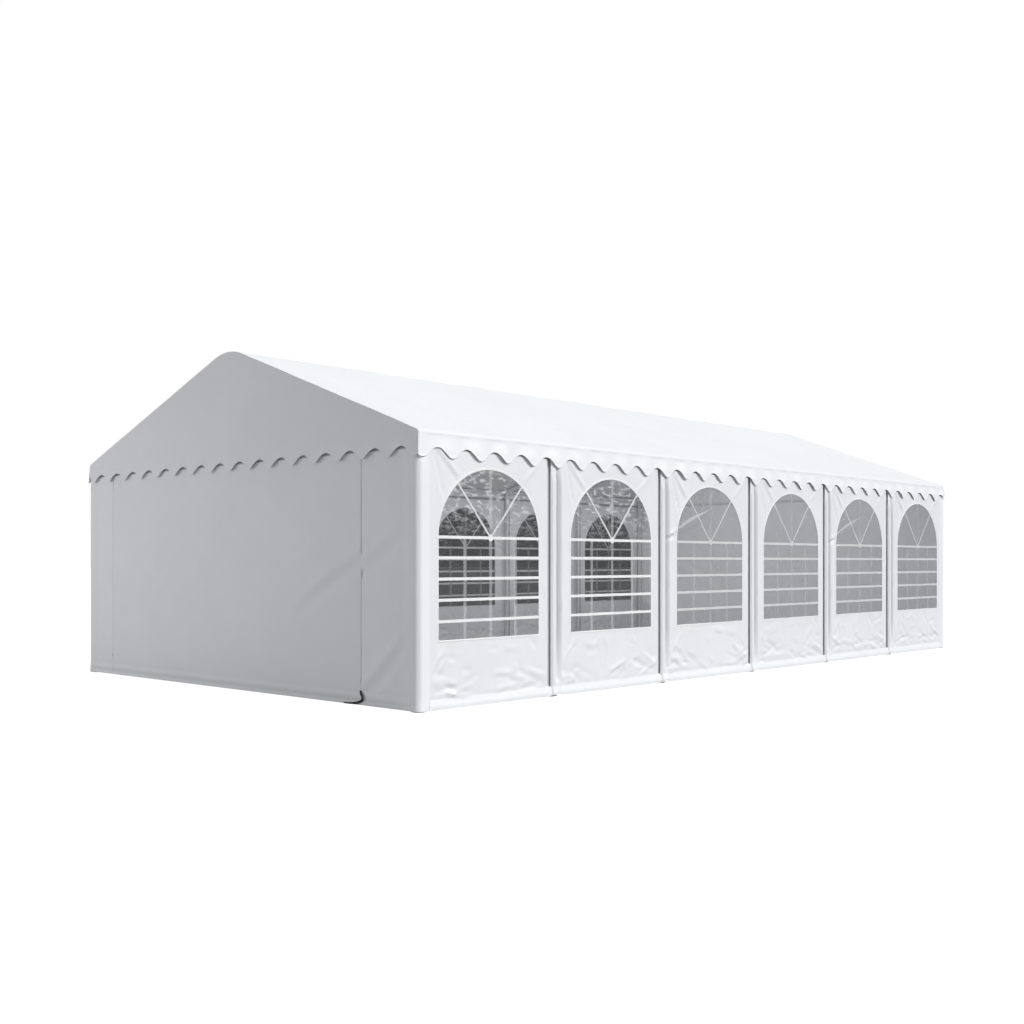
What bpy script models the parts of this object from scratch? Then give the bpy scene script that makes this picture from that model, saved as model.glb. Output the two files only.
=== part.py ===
"""A marquee tent: a steel tube frame of seven portals under white coated fabric, six bays long.

Units are metres and +Z is up. The origin is the middle of the footprint at ground level. X runs
along the tent and Y across it. The front long wall faces -Y and the left gable faces -X. The back
and the right gable are the front and the left gable turned half round.
"""

import math

import bmesh
import bpy
from mathutils import Matrix, Vector

# Overall sizes, to the outer faces of the wall fabric
LENGTH = 12.0
WIDTH = 6.0
BAYS = 6
EAVE_TOP = 2.650
RIDGE_TOP = 3.720
RIDGE_BEND = 0.730

# Fabric, modelled thicker than the real sheet
FABRIC_T = 0.004
FILM_T = 0.002
GAP = 0.0003

# Steel tubes and the fittings that sleeve them
TUBE_SIDES = 8
TUBE_R = 0.030
PURLIN_R = 0.025
ARM_SLEEVE_R = 0.0340
FITTING_PROUD = 0.0005
GROUND_BAR_R = 0.019
GROUND_SLEEVE_R = 0.026
BORE_CLEARANCE = 0.0004
GROUND_BAR_Z = 0.090
GABLE_BEAM_Z = 2.520
MID_PURLIN_Y = 1.600
SLEEVE_REACH = 0.090
END_SLEEVE_REACH = 0.026
EAVE_SLEEVE_DROP = 0.160
EAVE_SLEEVE_RISE = 0.160
MID_SLEEVE_HALF = 0.080
RIDGE_SLEEVE_TAIL = 0.060
SLEEVE_SET_BACK = 0.008
TUBE_SET_BACK = 0.012
GROUND_SLEEVE_REACH = 0.070
GROUND_END_REACH = 0.020

# Foot plates
PLATE_T = 0.008
PLATE_SIDE = 0.120
PLATE_INSET = 0.002
PLATE_CORNER = 0.020

# Wall panels
WRAP_LEG = 0.150
STRIP_WIDTH = 0.070
STRIP_PROUD = 0.012
STRIP_EDGE = 0.002
POST_SLOT = 0.014
STRIP_STEPS = 5

# Windows
WINDOW_WIDTH = 1.486
SILL_Z = 0.653
SPRING_Z = 1.642
ARCH_TOP_Z = 2.320
ARCH_STEPS = 16

# Zips of the gable door leaf, from the front corner
ZIP_FRONT = 0.806
ZIP_BACK = 5.437

# Valances
VALANCE_FLARE = 0.035
SIDE_WAVE_HIGH = 2.490
SIDE_WAVE_LOW = 2.390
SIDE_WAVE_PITCH = 0.400
SIDE_WAVE_FIRST = 0.246
GABLE_WAVE_HIGH = 2.500
GABLE_WAVE_LOW = 2.400
GABLE_WAVE_PITCH = 0.3636
GABLE_WAVE_FIRST = 0.217
WAVE_STEPS = 8

RIDGE_STEPS = 5
ROLL_STEPS = 6

# Places that follow from the sizes above
BAY = LENGTH / BAYS
FITTING_R = ARM_SLEEVE_R + FITTING_PROUD
SKIN = FITTING_R + GAP + FABRIC_T
POST_INSET = SKIN
POST_X = LENGTH / 2 - POST_INSET
POST_Y = WIDTH / 2 - POST_INSET
EAVE_Z = EAVE_TOP - SKIN
RIDGE_Z = RIDGE_TOP - SKIN
BOW_R = RIDGE_BEND - SKIN
BOW_Z = RIDGE_Z - BOW_R
WALL_BOTTOM = PLATE_T + GAP
FLARE_SLOPE = VALANCE_FLARE / (EAVE_Z - SIDE_WAVE_LOW)
WALL_TOP = EAVE_Z - (FABRIC_T + GAP) / FLARE_SLOPE
STRIP_TOP = EAVE_Z - (STRIP_PROUD + FABRIC_T + GAP) / FLARE_SLOPE
STRIP_START = STRIP_EDGE + STRIP_WIDTH
PANEL_END = STRIP_START + POST_SLOT
PURLIN_END_X = POST_X + END_SLEEVE_REACH
GROUND_BAR_END_X = POST_X + GROUND_END_REACH

MATERIALS = {
    "steel": ((0.55, 0.56, 0.57), 0.38, 0.9, 1.0),
    "roof_fabric": ((0.90, 0.91, 0.92), 0.42, 0.0, 1.0),
    "wall_fabric": ((0.86, 0.87, 0.88), 0.45, 0.0, 1.0),
    "window_film": ((0.62, 0.64, 0.66), 0.12, 0.0, 0.4),
}


def rafter_slope():
    """The angle of a rafter that runs from the eave fitting to touch the bent ridge fitting."""
    rise = EAVE_Z - BOW_Z
    reach = math.hypot(POST_Y, rise)
    return math.asin(BOW_R / reach) - math.atan2(rise, POST_Y)


SLOPE = rafter_slope()


def clear_scene():
    for obj in list(bpy.data.objects):
        bpy.data.objects.remove(obj)


def make_material(name):
    color, roughness, metallic, alpha = MATERIALS[name]
    material = bpy.data.materials.new(name)
    material.use_nodes = True
    shader = material.node_tree.nodes["Principled BSDF"]
    shader.inputs["Base Color"].default_value = (*color, 1.0)
    shader.inputs["Roughness"].default_value = roughness
    shader.inputs["Metallic"].default_value = metallic
    shader.inputs["Alpha"].default_value = alpha
    return material


def mesh_from(bm, name):
    """Turns a bmesh into a mesh whose faces point out, with its round parts shaded smooth."""
    bmesh.ops.recalc_face_normals(bm, faces=bm.faces[:])
    mesh = bpy.data.meshes.new(name)
    bm.to_mesh(mesh)
    bm.free()
    mesh.shade_smooth()
    mesh.set_sharp_from_angle(angle=math.radians(30))
    return mesh


def place(name, mesh, material, location=(0, 0, 0), turn=0.0):
    """Adds an object with its own material; objects may share a mesh."""
    obj = bpy.data.objects.new(name, mesh)
    bpy.context.scene.collection.objects.link(obj)
    if not mesh.materials:
        mesh.materials.append(None)
    obj.material_slots[0].link = "OBJECT"
    obj.material_slots[0].material = make_material(material)
    obj.location = location
    obj.rotation_euler = (0, 0, turn)
    return obj


def slab(outline, thickness):
    """A flat plate: the outline's face, extruded by the thickness vector."""
    bm = bmesh.new()
    face = bm.faces.new([bm.verts.new(point) for point in outline])
    grown = bmesh.ops.extrude_face_region(bm, geom=[face])
    moved = [item for item in grown["geom"] if isinstance(item, bmesh.types.BMVert)]
    bmesh.ops.translate(bm, verts=moved, vec=Vector(thickness))
    return bm


def box(low, high):
    """A box between two corners."""
    (x0, y0, z0), (x1, y1, z1) = low, high
    outline = [(x0, y0, z0), (x1, y0, z0), (x1, y1, z0), (x0, y1, z0)]
    return slab(outline, (0, 0, z1 - z0))


def tube(route, radius):
    """A tube with flat ends along points that lie in one plane, with a corner facing outwards."""
    route = [Vector(point) for point in route]
    bm = bmesh.new()
    rings = []
    for index, point in enumerate(route):
        before = route[max(index - 1, 0)]
        after = route[min(index + 1, len(route) - 1)]
        along = (after - before).normalized()
        side = Vector((0, 1, 0)) if along.x else Vector((1, 0, 0))
        up = side.cross(along).normalized()
        half = 0.0
        if 0 < index < len(route) - 1:
            half = (point - before).angle(after - point) / 2
        ring = []
        for corner in range(TUBE_SIDES):
            angle = math.tau * corner / TUBE_SIDES
            out = up * (math.cos(angle) / math.cos(half)) + side * math.sin(angle)
            ring.append(bm.verts.new(point + out * radius))
        rings.append(ring)
    for lower, upper in zip(rings, rings[1:]):
        for corner in range(TUBE_SIDES):
            after = (corner + 1) % TUBE_SIDES
            bm.faces.new((lower[corner], lower[after], upper[after], upper[corner]))
    bm.faces.new(rings[0])
    bm.faces.new(rings[-1])
    return bm


def tube_along_x(start, end, y, z, radius, turn=0.0):
    """A straight tube along X, with a flat side turned from straight up towards its own side."""
    bm = tube([(start, 0, 0), (end, 0, 0)], radius)
    lean = -turn if y > 0 else turn
    spin = Matrix.Rotation(lean + math.pi / TUBE_SIDES, 4, "X")
    bmesh.ops.transform(bm, matrix=Matrix.Translation((0, y, z)) @ spin, verts=bm.verts[:])
    return bm


def helper_group(name, solids):
    """Puts solids that only shape another one into a collection of their own."""
    group = bpy.data.collections.new(name)
    bpy.context.scene.collection.children.link(group)
    for solid in solids:
        helper = bpy.data.objects.new(name, mesh_from(solid, name))
        helper.hide_render = True
        helper.display_type = "WIRE"
        group.objects.link(helper)
    return group


def carve(name, base, joined, cut):
    """Joins solids to a base and cuts others from it, and gives the one mesh that results."""
    obj = bpy.data.objects.new(name, mesh_from(base, name))
    bpy.context.scene.collection.objects.link(obj)
    groups = []
    for operation, solids in (("UNION", joined), ("DIFFERENCE", cut)):
        if not solids:
            continue
        group = helper_group(f"{name}_{operation.lower()}", solids)
        modifier = obj.modifiers.new(operation.lower(), "BOOLEAN")
        modifier.operation = operation
        modifier.solver = "EXACT"
        modifier.operand_type = "COLLECTION"
        modifier.collection = group
        groups.append(group)
    graph = bpy.context.evaluated_depsgraph_get()
    mesh = bpy.data.meshes.new_from_object(obj.evaluated_get(graph))
    for group in groups:
        for helper in list(group.objects):
            bpy.data.objects.remove(helper)
        bpy.data.collections.remove(group)
    bpy.data.objects.remove(obj)
    mesh.shade_smooth()
    mesh.set_sharp_from_angle(angle=math.radians(30))
    return mesh


def on_rafter(y):
    """The height of a rafter's centre line where it is straight, at a distance y from the middle."""
    return EAVE_Z + (POST_Y - y) * math.tan(SLOPE)


def bow_points():
    """The arc of the bent ridge fitting's centre line, from the back to the front."""
    points = []
    for step in range(-RIDGE_STEPS, RIDGE_STEPS + 1):
        angle = SLOPE * step / RIDGE_STEPS
        points.append(Vector((0, BOW_R * math.sin(angle), BOW_Z + BOW_R * math.cos(angle))))
    return points


def down_slope(side):
    """The direction down the rafter on one side, -1 for the front and 1 for the back."""
    return Vector((0, side * math.cos(SLOPE), -math.sin(SLOPE)))


def foot_plate(side, x_low, x_high):
    """A foot plate with clipped corners, from just inside the wall's outer face inwards."""
    outer = side * (WIDTH / 2 - PLATE_INSET)
    inner = side * (WIDTH / 2 - PLATE_INSET - PLATE_SIDE)
    low, high = sorted((outer, inner))
    clip = PLATE_CORNER
    outline = [
        (x_low + clip, low, 0),
        (x_high - clip, low, 0),
        (x_high, low + clip, 0),
        (x_high, high - clip, 0),
        (x_high - clip, high, 0),
        (x_low + clip, high, 0),
        (x_low, high - clip, 0),
        (x_low, low + clip, 0),
    ]
    return slab(outline, (0, 0, PLATE_T))


def portal_side(side, sleeve_low, ground_low, plate_low):
    """The solids of one half of a portal: post, foot, and the eave and middle fittings."""
    y = side * POST_Y
    eave = Vector((0, y, EAVE_Z))
    down = down_slope(side)
    mid_y = side * MID_PURLIN_Y
    mid = Vector((0, mid_y, on_rafter(MID_PURLIN_Y)))
    return [
        tube([(0, y, PLATE_T / 2), (0, y, EAVE_Z - TUBE_SET_BACK)], TUBE_R),
        foot_plate(side, plate_low, plate_low + PLATE_SIDE),
        tube([(0, y, EAVE_Z - EAVE_SLEEVE_DROP), (0, y, EAVE_Z - SLEEVE_SET_BACK)], ARM_SLEEVE_R),
        tube([eave - down * SLEEVE_SET_BACK, eave - down * EAVE_SLEEVE_RISE], ARM_SLEEVE_R),
        tube([mid - down * MID_SLEEVE_HALF, mid + down * MID_SLEEVE_HALF], ARM_SLEEVE_R),
        tube_along_x(sleeve_low, SLEEVE_REACH, y, EAVE_Z, FITTING_R, SLOPE),
        tube_along_x(sleeve_low, SLEEVE_REACH, mid_y, mid.z, FITTING_R, SLOPE),
        tube_along_x(ground_low, GROUND_SLEEVE_REACH, y, GROUND_BAR_Z, GROUND_SLEEVE_R),
    ]


def portal_bores(side, low, high):
    """The bores through one half of a portal for its purlins and its ground bar."""
    y = side * POST_Y
    mid_y = side * MID_PURLIN_Y
    purlin = PURLIN_R + BORE_CLEARANCE
    ground = GROUND_BAR_R + BORE_CLEARANCE
    return [
        tube_along_x(low, high, y, EAVE_Z, purlin, SLOPE),
        tube_along_x(low, high, mid_y, on_rafter(MID_PURLIN_Y), purlin, SLOPE),
        tube_along_x(low, high, y, GROUND_BAR_Z, ground),
    ]


def portal_mesh(name, sleeve_low, ground_low, plate_low):
    """One portal in its own plane x = 0; its sleeves and its foot plates start at the low values."""
    ends = []
    for side in (-1, 1):
        eave = Vector((0, side * POST_Y, EAVE_Z))
        ends.append(eave - down_slope(side) * TUBE_SET_BACK)
    bow = bow_points()
    tail = RIDGE_SLEEVE_TAIL
    ridge_sleeve = [bow[0] + down_slope(-1) * tail, *bow, bow[-1] + down_slope(1) * tail]
    joined = [
        tube(ridge_sleeve, ARM_SLEEVE_R),
        tube_along_x(sleeve_low, SLEEVE_REACH, 0, RIDGE_Z, FITTING_R),
    ]
    margin = SLEEVE_REACH / 2
    low, high = -SLEEVE_REACH - margin, SLEEVE_REACH + margin
    cut = [tube_along_x(low, high, 0, RIDGE_Z, PURLIN_R + BORE_CLEARANCE)]
    for side in (-1, 1):
        joined += portal_side(side, sleeve_low, ground_low, plate_low)
        cut += portal_bores(side, low, high)
    return carve(name, tube([ends[0], *bow, ends[1]], TUBE_R), joined, cut)


def build_portals():
    outward = POST_INSET - PLATE_INSET
    inner = portal_mesh("inner_portal", -SLEEVE_REACH, -GROUND_SLEEVE_REACH, -PLATE_SIDE / 2)
    end = portal_mesh("end_portal", -END_SLEEVE_REACH, -GROUND_END_REACH, -outward)
    place("portal_frame_1", end, "steel", (-POST_X, 0, 0))
    for number in range(1, BAYS):
        x = -LENGTH / 2 + number * BAY
        place(f"portal_frame_{number + 1}", inner, "steel", (x, 0, 0))
    place(f"portal_frame_{BAYS + 1}", end, "steel", (POST_X, 0, 0), math.pi)


def build_long_tubes():
    """The ridge, eave and middle purlins and the ground bars along the tent."""
    purlin = PURLIN_END_X
    ground = GROUND_BAR_END_X
    ridge = tube_along_x(-purlin, purlin, 0, RIDGE_Z, PURLIN_R)
    place("ridge_purlin", mesh_from(ridge, "ridge_purlin"), "steel")
    for word, side in (("front", -1), ("back", 1)):
        eave = tube_along_x(-purlin, purlin, side * POST_Y, EAVE_Z, PURLIN_R, SLOPE)
        place(f"eave_purlin_{word}", mesh_from(eave, "eave_purlin"), "steel")
        mid_z = on_rafter(MID_PURLIN_Y)
        mid_y = side * MID_PURLIN_Y
        mid = tube_along_x(-purlin, purlin, mid_y, mid_z, PURLIN_R, SLOPE)
        place(f"mid_purlin_{word}", mesh_from(mid, "mid_purlin"), "steel")
        bar = tube_along_x(-ground, ground, side * POST_Y, GROUND_BAR_Z, GROUND_BAR_R)
        place(f"ground_bar_{word}", mesh_from(bar, "ground_bar"), "steel")


def build_gable_tubes():
    """The beam behind each gable's valance and the ground bar under each gable wall."""
    beam_x = LENGTH / 2 - FABRIC_T - GAP - PURLIN_R
    beam_end = POST_Y - ARM_SLEEVE_R - GAP
    bar_end = POST_Y - TUBE_R - GAP
    beam = tube([(0, -beam_end, 0), (0, beam_end, 0)], PURLIN_R)
    bar = tube([(0, -bar_end, 0), (0, bar_end, 0)], GROUND_BAR_R)
    beam_mesh = mesh_from(beam, "gable_beam")
    bar_mesh = mesh_from(bar, "gable_ground_bar")
    for word, side in (("left", -1), ("right", 1)):
        place(f"gable_beam_{word}", beam_mesh, "steel", (side * beam_x, 0, GABLE_BEAM_Z))
        place(f"ground_bar_{word}", bar_mesh, "steel", (side * POST_X, 0, GROUND_BAR_Z))


def roof_line(depth, start):
    """Points of the roof's section from the ridge down round the eave, a depth below its face."""
    points = []
    for step in range(RIDGE_STEPS + 1):
        angle = start + (SLOPE - start) * step / RIDGE_STEPS
        bend = RIDGE_BEND - depth
        points.append((bend * math.sin(angle), BOW_Z + bend * math.cos(angle)))
    for step in range(ROLL_STEPS + 1):
        angle = SLOPE + (math.pi / 2 - SLOPE) * step / ROLL_STEPS
        roll = SKIN - depth
        points.append((POST_Y + roll * math.sin(angle), EAVE_Z + roll * math.cos(angle)))
    return points


def build_roof_slopes():
    """The two halves of the roof cover, which meet along the ridge."""
    seam = math.asin(GAP / 2 / RIDGE_BEND)
    section = roof_line(0.0, seam) + roof_line(FABRIC_T, seam)[::-1]
    outline = [(-LENGTH / 2, -y, z) for y, z in section]
    mesh = mesh_from(slab(outline, (LENGTH, 0, 0)), "roof_slope")
    place("roof_slope_front", mesh, "roof_fabric")
    place("roof_slope_back", mesh, "roof_fabric", turn=math.pi)


def wave_edge(start, end, low, high, pitch, first):
    """The scalloped edge: (place, height) pairs from start to end, both in metres from a corner."""
    steps = round((end - start) / pitch * WAVE_STEPS)
    points = []
    for step in range(steps + 1):
        place_along = start + (end - start) * step / steps
        swing = math.cos(math.tau * (place_along - first) / pitch)
        points.append((place_along, (high + low) / 2 + swing * (high - low) / 2))
    return points


def build_valances():
    """The hanging edge of the roof cover along each long wall, which leans out a little."""
    edge = wave_edge(0, LENGTH, SIDE_WAVE_LOW, SIDE_WAVE_HIGH, SIDE_WAVE_PITCH, SIDE_WAVE_FIRST)
    top = EAVE_Z - GAP
    outline = [(-LENGTH / 2 + along, -WIDTH / 2, height) for along, height in edge]
    outline += [(LENGTH / 2, -WIDTH / 2, top), (-LENGTH / 2, -WIDTH / 2, top)]
    bm = slab(outline, (0, FABRIC_T, 0))
    for vert in bm.verts:
        vert.co.y -= FLARE_SLOPE * (EAVE_Z - vert.co.z)
    mesh = mesh_from(bm, "valance")
    place("valance_front", mesh, "roof_fabric")
    place("valance_back", mesh, "roof_fabric", turn=math.pi)


def build_gable_sheets():
    """The upright end of the roof cover: the gable triangle and its scalloped edge in one."""
    roof = roof_line(0.0, 0.0)
    lean = FLARE_SLOPE * (EAVE_Z - GABLE_WAVE_LOW)
    edge = wave_edge(
        -lean, WIDTH + lean, GABLE_WAVE_LOW, GABLE_WAVE_HIGH, GABLE_WAVE_PITCH, GABLE_WAVE_FIRST
    )
    face_x = -LENGTH / 2 - GAP
    outline = [(face_x, along - WIDTH / 2, height) for along, height in edge]
    outline += [(face_x, y, z) for y, z in roof[::-1]]
    outline += [(face_x, -y, z) for y, z in roof[1:]]
    mesh = mesh_from(slab(outline, (-FABRIC_T, 0, 0)), "gable_sheet")
    place("gable_sheet_left", mesh, "roof_fabric")
    place("gable_sheet_right", mesh, "roof_fabric", turn=math.pi)


def window_outline(y, clearance):
    """The arched window in its bay, made smaller all round by the clearance."""
    half = WINDOW_WIDTH / 2 - clearance
    rise = ARCH_TOP_Z - SPRING_Z - clearance
    points = [(BAY / 2 - half, y, SILL_Z + clearance), (BAY / 2 + half, y, SILL_Z + clearance)]
    for step in range(ARCH_STEPS + 1):
        angle = math.pi * step / ARCH_STEPS
        points.append((BAY / 2 + half * math.cos(angle), y, SPRING_Z + rise * math.sin(angle)))
    return points


def strip_points(y):
    """The raised strip over a post, from its free edge to the flat panel, at a distance y."""
    points = []
    for step in range(STRIP_STEPS + 1):
        angle = math.pi * step / STRIP_STEPS
        x = -STRIP_START + STRIP_WIDTH * (1 - math.cos(angle)) / 2
        points.append((x, y - STRIP_PROUD * math.sin(angle), WALL_BOTTOM))
    return points


def wall_panel_mesh(name, with_strip, right_end):
    """One bay's wall: flat fabric with a window opening and, over a post, a raised strip."""
    if with_strip:
        outer = strip_points(0.0)
        inner = strip_points(FABRIC_T)[::-1]
    else:
        outer = [(WRAP_LEG + GAP, 0.0, WALL_BOTTOM)]
        inner = [(WRAP_LEG + GAP, FABRIC_T, WALL_BOTTOM)]
    ends = [(right_end, 0.0, WALL_BOTTOM), (right_end, FABRIC_T, WALL_BOTTOM)]
    panel = slab(outer + ends + inner, (0, 0, WALL_TOP - WALL_BOTTOM))
    cut = [slab(window_outline(-STRIP_PROUD, 0.0), (0, FABRIC_T + 2 * STRIP_PROUD, 0))]
    if with_strip:
        reach = 2 * STRIP_PROUD
        low = (-STRIP_START - reach, -reach, STRIP_TOP)
        high = (-STRIP_EDGE / 2, reach, WALL_TOP + reach)
        cut.append(box(low, high))
    return carve(name, panel, [], cut)


def build_long_walls():
    """Six window panels on each long wall, each with its clear film."""
    slot_end = BAY - PANEL_END
    corner_end = BAY - WRAP_LEG - GAP
    first = wall_panel_mesh("first_panel", False, slot_end)
    middle = wall_panel_mesh("middle_panel", True, slot_end)
    last = wall_panel_mesh("last_panel", True, corner_end)
    film_y = (FABRIC_T - FILM_T) / 2
    film = mesh_from(slab(window_outline(film_y, GAP), (0, FILM_T, 0)), "window_film")
    meshes = [first] + [middle] * (BAYS - 2) + [last]
    for word, side, turn in (("front", 1, 0.0), ("back", -1, math.pi)):
        for number, panel in enumerate(meshes):
            spot = (side * (number * BAY - LENGTH / 2), -side * WIDTH / 2, 0)
            place(f"wall_panel_{word}_{number + 1}", panel, "wall_fabric", spot, turn)
            place(f"window_film_{word}_{number + 1}", film, "window_film", spot, turn)


def corner_leaf_mesh(name, gable_leg, side):
    """A gable side leaf that wraps the corner post; side is -1 for the front corner, 1 for the back."""
    outer = [(-LENGTH / 2 + WRAP_LEG, side * WIDTH / 2)]
    inner = [(-LENGTH / 2 + WRAP_LEG, side * (WIDTH / 2 - FABRIC_T))]
    for step in range(ROLL_STEPS + 1):
        angle = math.pi / 2 * step / ROLL_STEPS
        for line, radius in ((outer, SKIN), (inner, SKIN - FABRIC_T)):
            x = -POST_X - radius * math.sin(angle)
            line.append((x, side * (POST_Y + radius * math.cos(angle))))
    outer.append((-LENGTH / 2, side * (WIDTH / 2 - gable_leg)))
    inner.append((-LENGTH / 2 + FABRIC_T, side * (WIDTH / 2 - gable_leg)))
    outline = [(x, y, WALL_BOTTOM) for x, y in outer + inner[::-1]]
    return mesh_from(slab(outline, (0, 0, WALL_TOP - WALL_BOTTOM)), name)


def build_gable_walls():
    """Each gable wall: two side leaves that wrap the corners and a zipped door leaf between."""
    half_gap = GAP / 2
    front_leaf = corner_leaf_mesh("front_leaf", ZIP_FRONT - half_gap, -1)
    back_leaf = corner_leaf_mesh("back_leaf", WIDTH - ZIP_BACK - half_gap, 1)
    low = (-LENGTH / 2, ZIP_FRONT + half_gap - WIDTH / 2, WALL_BOTTOM)
    high = (-LENGTH / 2 + FABRIC_T, ZIP_BACK - half_gap - WIDTH / 2, WALL_TOP)
    door = mesh_from(box(low, high), "door_leaf")
    for word, turn in (("left", 0.0), ("right", math.pi)):
        place(f"gable_side_leaf_{word}_1", front_leaf, "wall_fabric", turn=turn)
        place(f"gable_door_leaf_{word}", door, "wall_fabric", turn=turn)
        place(f"gable_side_leaf_{word}_2", back_leaf, "wall_fabric", turn=turn)


def main():
    clear_scene()
    build_portals()
    build_long_tubes()
    build_gable_tubes()
    build_roof_slopes()
    build_valances()
    build_gable_sheets()
    build_long_walls()
    build_gable_walls()


main()
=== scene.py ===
"""The looks of a white marquee tent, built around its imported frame.

Units are metres and +Z is up. X runs along the tent, the front long wall faces -Y and the left
gable faces -X. Every wall is shaped in its own flat frame, as seen from outside: u runs along the
wall from its left end, v is the height, and relief is how far the fabric stands out. The frame is
then turned to its side of the tent.
"""

import logging
import math
import random
from dataclasses import dataclass
from enum import Enum
from typing import Callable, Sequence

import bmesh
import bpy
from mathutils import Matrix, Vector, noise


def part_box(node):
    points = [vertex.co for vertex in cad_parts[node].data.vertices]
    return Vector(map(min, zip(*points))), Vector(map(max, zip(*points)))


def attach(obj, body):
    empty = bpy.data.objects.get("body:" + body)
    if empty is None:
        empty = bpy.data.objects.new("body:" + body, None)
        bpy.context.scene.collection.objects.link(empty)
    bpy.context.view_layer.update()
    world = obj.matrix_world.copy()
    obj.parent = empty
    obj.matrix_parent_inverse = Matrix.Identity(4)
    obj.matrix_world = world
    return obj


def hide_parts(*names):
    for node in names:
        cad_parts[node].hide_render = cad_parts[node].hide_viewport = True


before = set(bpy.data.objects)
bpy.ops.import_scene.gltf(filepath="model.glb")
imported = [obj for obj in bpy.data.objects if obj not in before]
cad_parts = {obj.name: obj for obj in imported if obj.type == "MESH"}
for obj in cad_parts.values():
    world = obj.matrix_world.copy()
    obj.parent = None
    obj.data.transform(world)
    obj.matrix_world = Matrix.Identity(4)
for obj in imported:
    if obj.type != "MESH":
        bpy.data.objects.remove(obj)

LOG = logging.getLogger("marquee_tent")
BODY = "root"
FABRIC_T = 0.0022
FILM_T = 0.0012
SHARP_ANGLE = math.radians(38)
CLOTH_MAP = "cloth"

Point = tuple[float, float]
Color = tuple[float, float, float]
Shape = bmesh.types.BMesh
Socket = bpy.types.NodeSocket
Relief = Callable[[float, float], float]


class Slot(Enum):
    """The record's material slots."""

    STEEL = "steel"
    ROOF = "roof_fabric"
    WALL = "wall_fabric"
    FILM = "window_film"


class Side(Enum):
    """The four outer walls, each with the quarter turns that bring the front wall to it."""

    FRONT = 0
    RIGHT = 1
    BACK = 2
    LEFT = 3

    @property
    def word(self) -> str:
        """The side's name in the names of nodes and pieces."""
        return self.name.lower()

    @property
    def is_long(self) -> bool:
        """True for the two walls that run along the tent."""
        return self in (Side.FRONT, Side.BACK)

    @property
    def turn(self) -> Matrix:
        """The turn about Z from the front wall to this one."""
        return Matrix.Rotation(math.pi / 2 * self.value, 4, "Z")


def middle(node: str) -> Vector:
    """The middle of a frame node's box."""
    low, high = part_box(node)
    return (low + high) / 2


def smooth_step(value: float, low: float, high: float) -> float:
    """Rises softly from 0 at low to 1 at high."""
    share = min(max((value - low) / (high - low), 0.0), 1.0)
    return share * share * (3 - 2 * share)


def bump(value: float, centre: float, width: float) -> float:
    """A soft hump of height 1 round a centre."""
    return math.exp(-(((value - centre) / width) ** 2))


def graded(stops: Sequence[float], cell: float) -> list[float]:
    """Places that pass through every stop and lie at most a cell apart.

    Args:
        stops: The places that must be met, in rising order.
        cell: The widest step between two places.

    Returns:
        All places, from the first stop to the last.
    """
    places = [stops[0]]
    for low, high in zip(stops, stops[1:]):
        steps = max(1, math.ceil((high - low) / cell - 1e-6))
        places += [low + (high - low) * step / steps for step in range(1, steps + 1)]
    return places


@dataclass(frozen=True)
class TentPlan:
    """The sizes and places that all pieces share, in metres."""

    half_length: float
    half_width: float
    bays: int
    post_x: float
    post_y: float
    skin: float
    eave_z: float
    ridge_z: float
    ridge_top: float
    slope: float
    mid_y: float
    wall_bottom: float
    wall_top: float
    bar_z: float

    @classmethod
    def from_frame(cls) -> "TentPlan":
        """Reads the plan from the boxes of the frame's nodes.

        Returns:
            The tent's plan.
        """
        roof_low, roof_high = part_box("roof_slope_front")
        panel_low, panel_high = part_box("wall_panel_front_1")
        eave = middle("eave_purlin_front")
        mid = middle("mid_purlin_front")
        names = [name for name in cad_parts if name.startswith("wall_panel_front_")]
        return cls(
            half_length=roof_high.x,
            half_width=-roof_low.y,
            bays=len(names),
            post_x=-middle("ground_bar_left").x,
            post_y=-eave.y,
            skin=-roof_low.y + eave.y,
            eave_z=eave.z,
            ridge_z=middle("ridge_purlin").z,
            ridge_top=roof_high.z,
            slope=math.atan2(mid.z - eave.z, mid.y - eave.y),
            mid_y=-mid.y,
            wall_bottom=panel_low.z,
            wall_top=panel_high.z,
            bar_z=middle("ground_bar_front").z,
        )

    @property
    def bay(self) -> float:
        """The distance between two posts along the tent."""
        return 2 * self.half_length / self.bays

    @property
    def bow_radius(self) -> float:
        """The radius of the bent ridge fitting's centre line, which the rafters touch."""
        rise = self.eave_z + self.post_y * math.tan(self.slope) - self.ridge_z
        return rise * math.cos(self.slope) / (1 - math.cos(self.slope))

    @property
    def bow_z(self) -> float:
        """The height of the centre of the bend at the ridge."""
        return self.ridge_z - self.bow_radius

    def rafter_z(self, y: float) -> float:
        """The height of a straight rafter's centre line at a distance y from the middle."""
        return self.eave_z + (self.post_y - y) * math.tan(self.slope)

    def wall_frame(self, side: Side) -> Matrix:
        """Takes (u, inward, v) of a wall, seen from outside, to its place on the tent."""
        if side.is_long:
            corner = Vector((-self.half_length, -self.half_width, 0))
        else:
            corner = Vector((-self.half_width, -self.half_length, 0))
        return side.turn @ Matrix.Translation(corner)

    def bay_frame(self, side: Side, number: int) -> Matrix:
        """The frame of one bay of a long wall, whose u starts at the bay's left post."""
        return self.wall_frame(side) @ Matrix.Translation(((number - 1) * self.bay, 0, 0))


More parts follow.
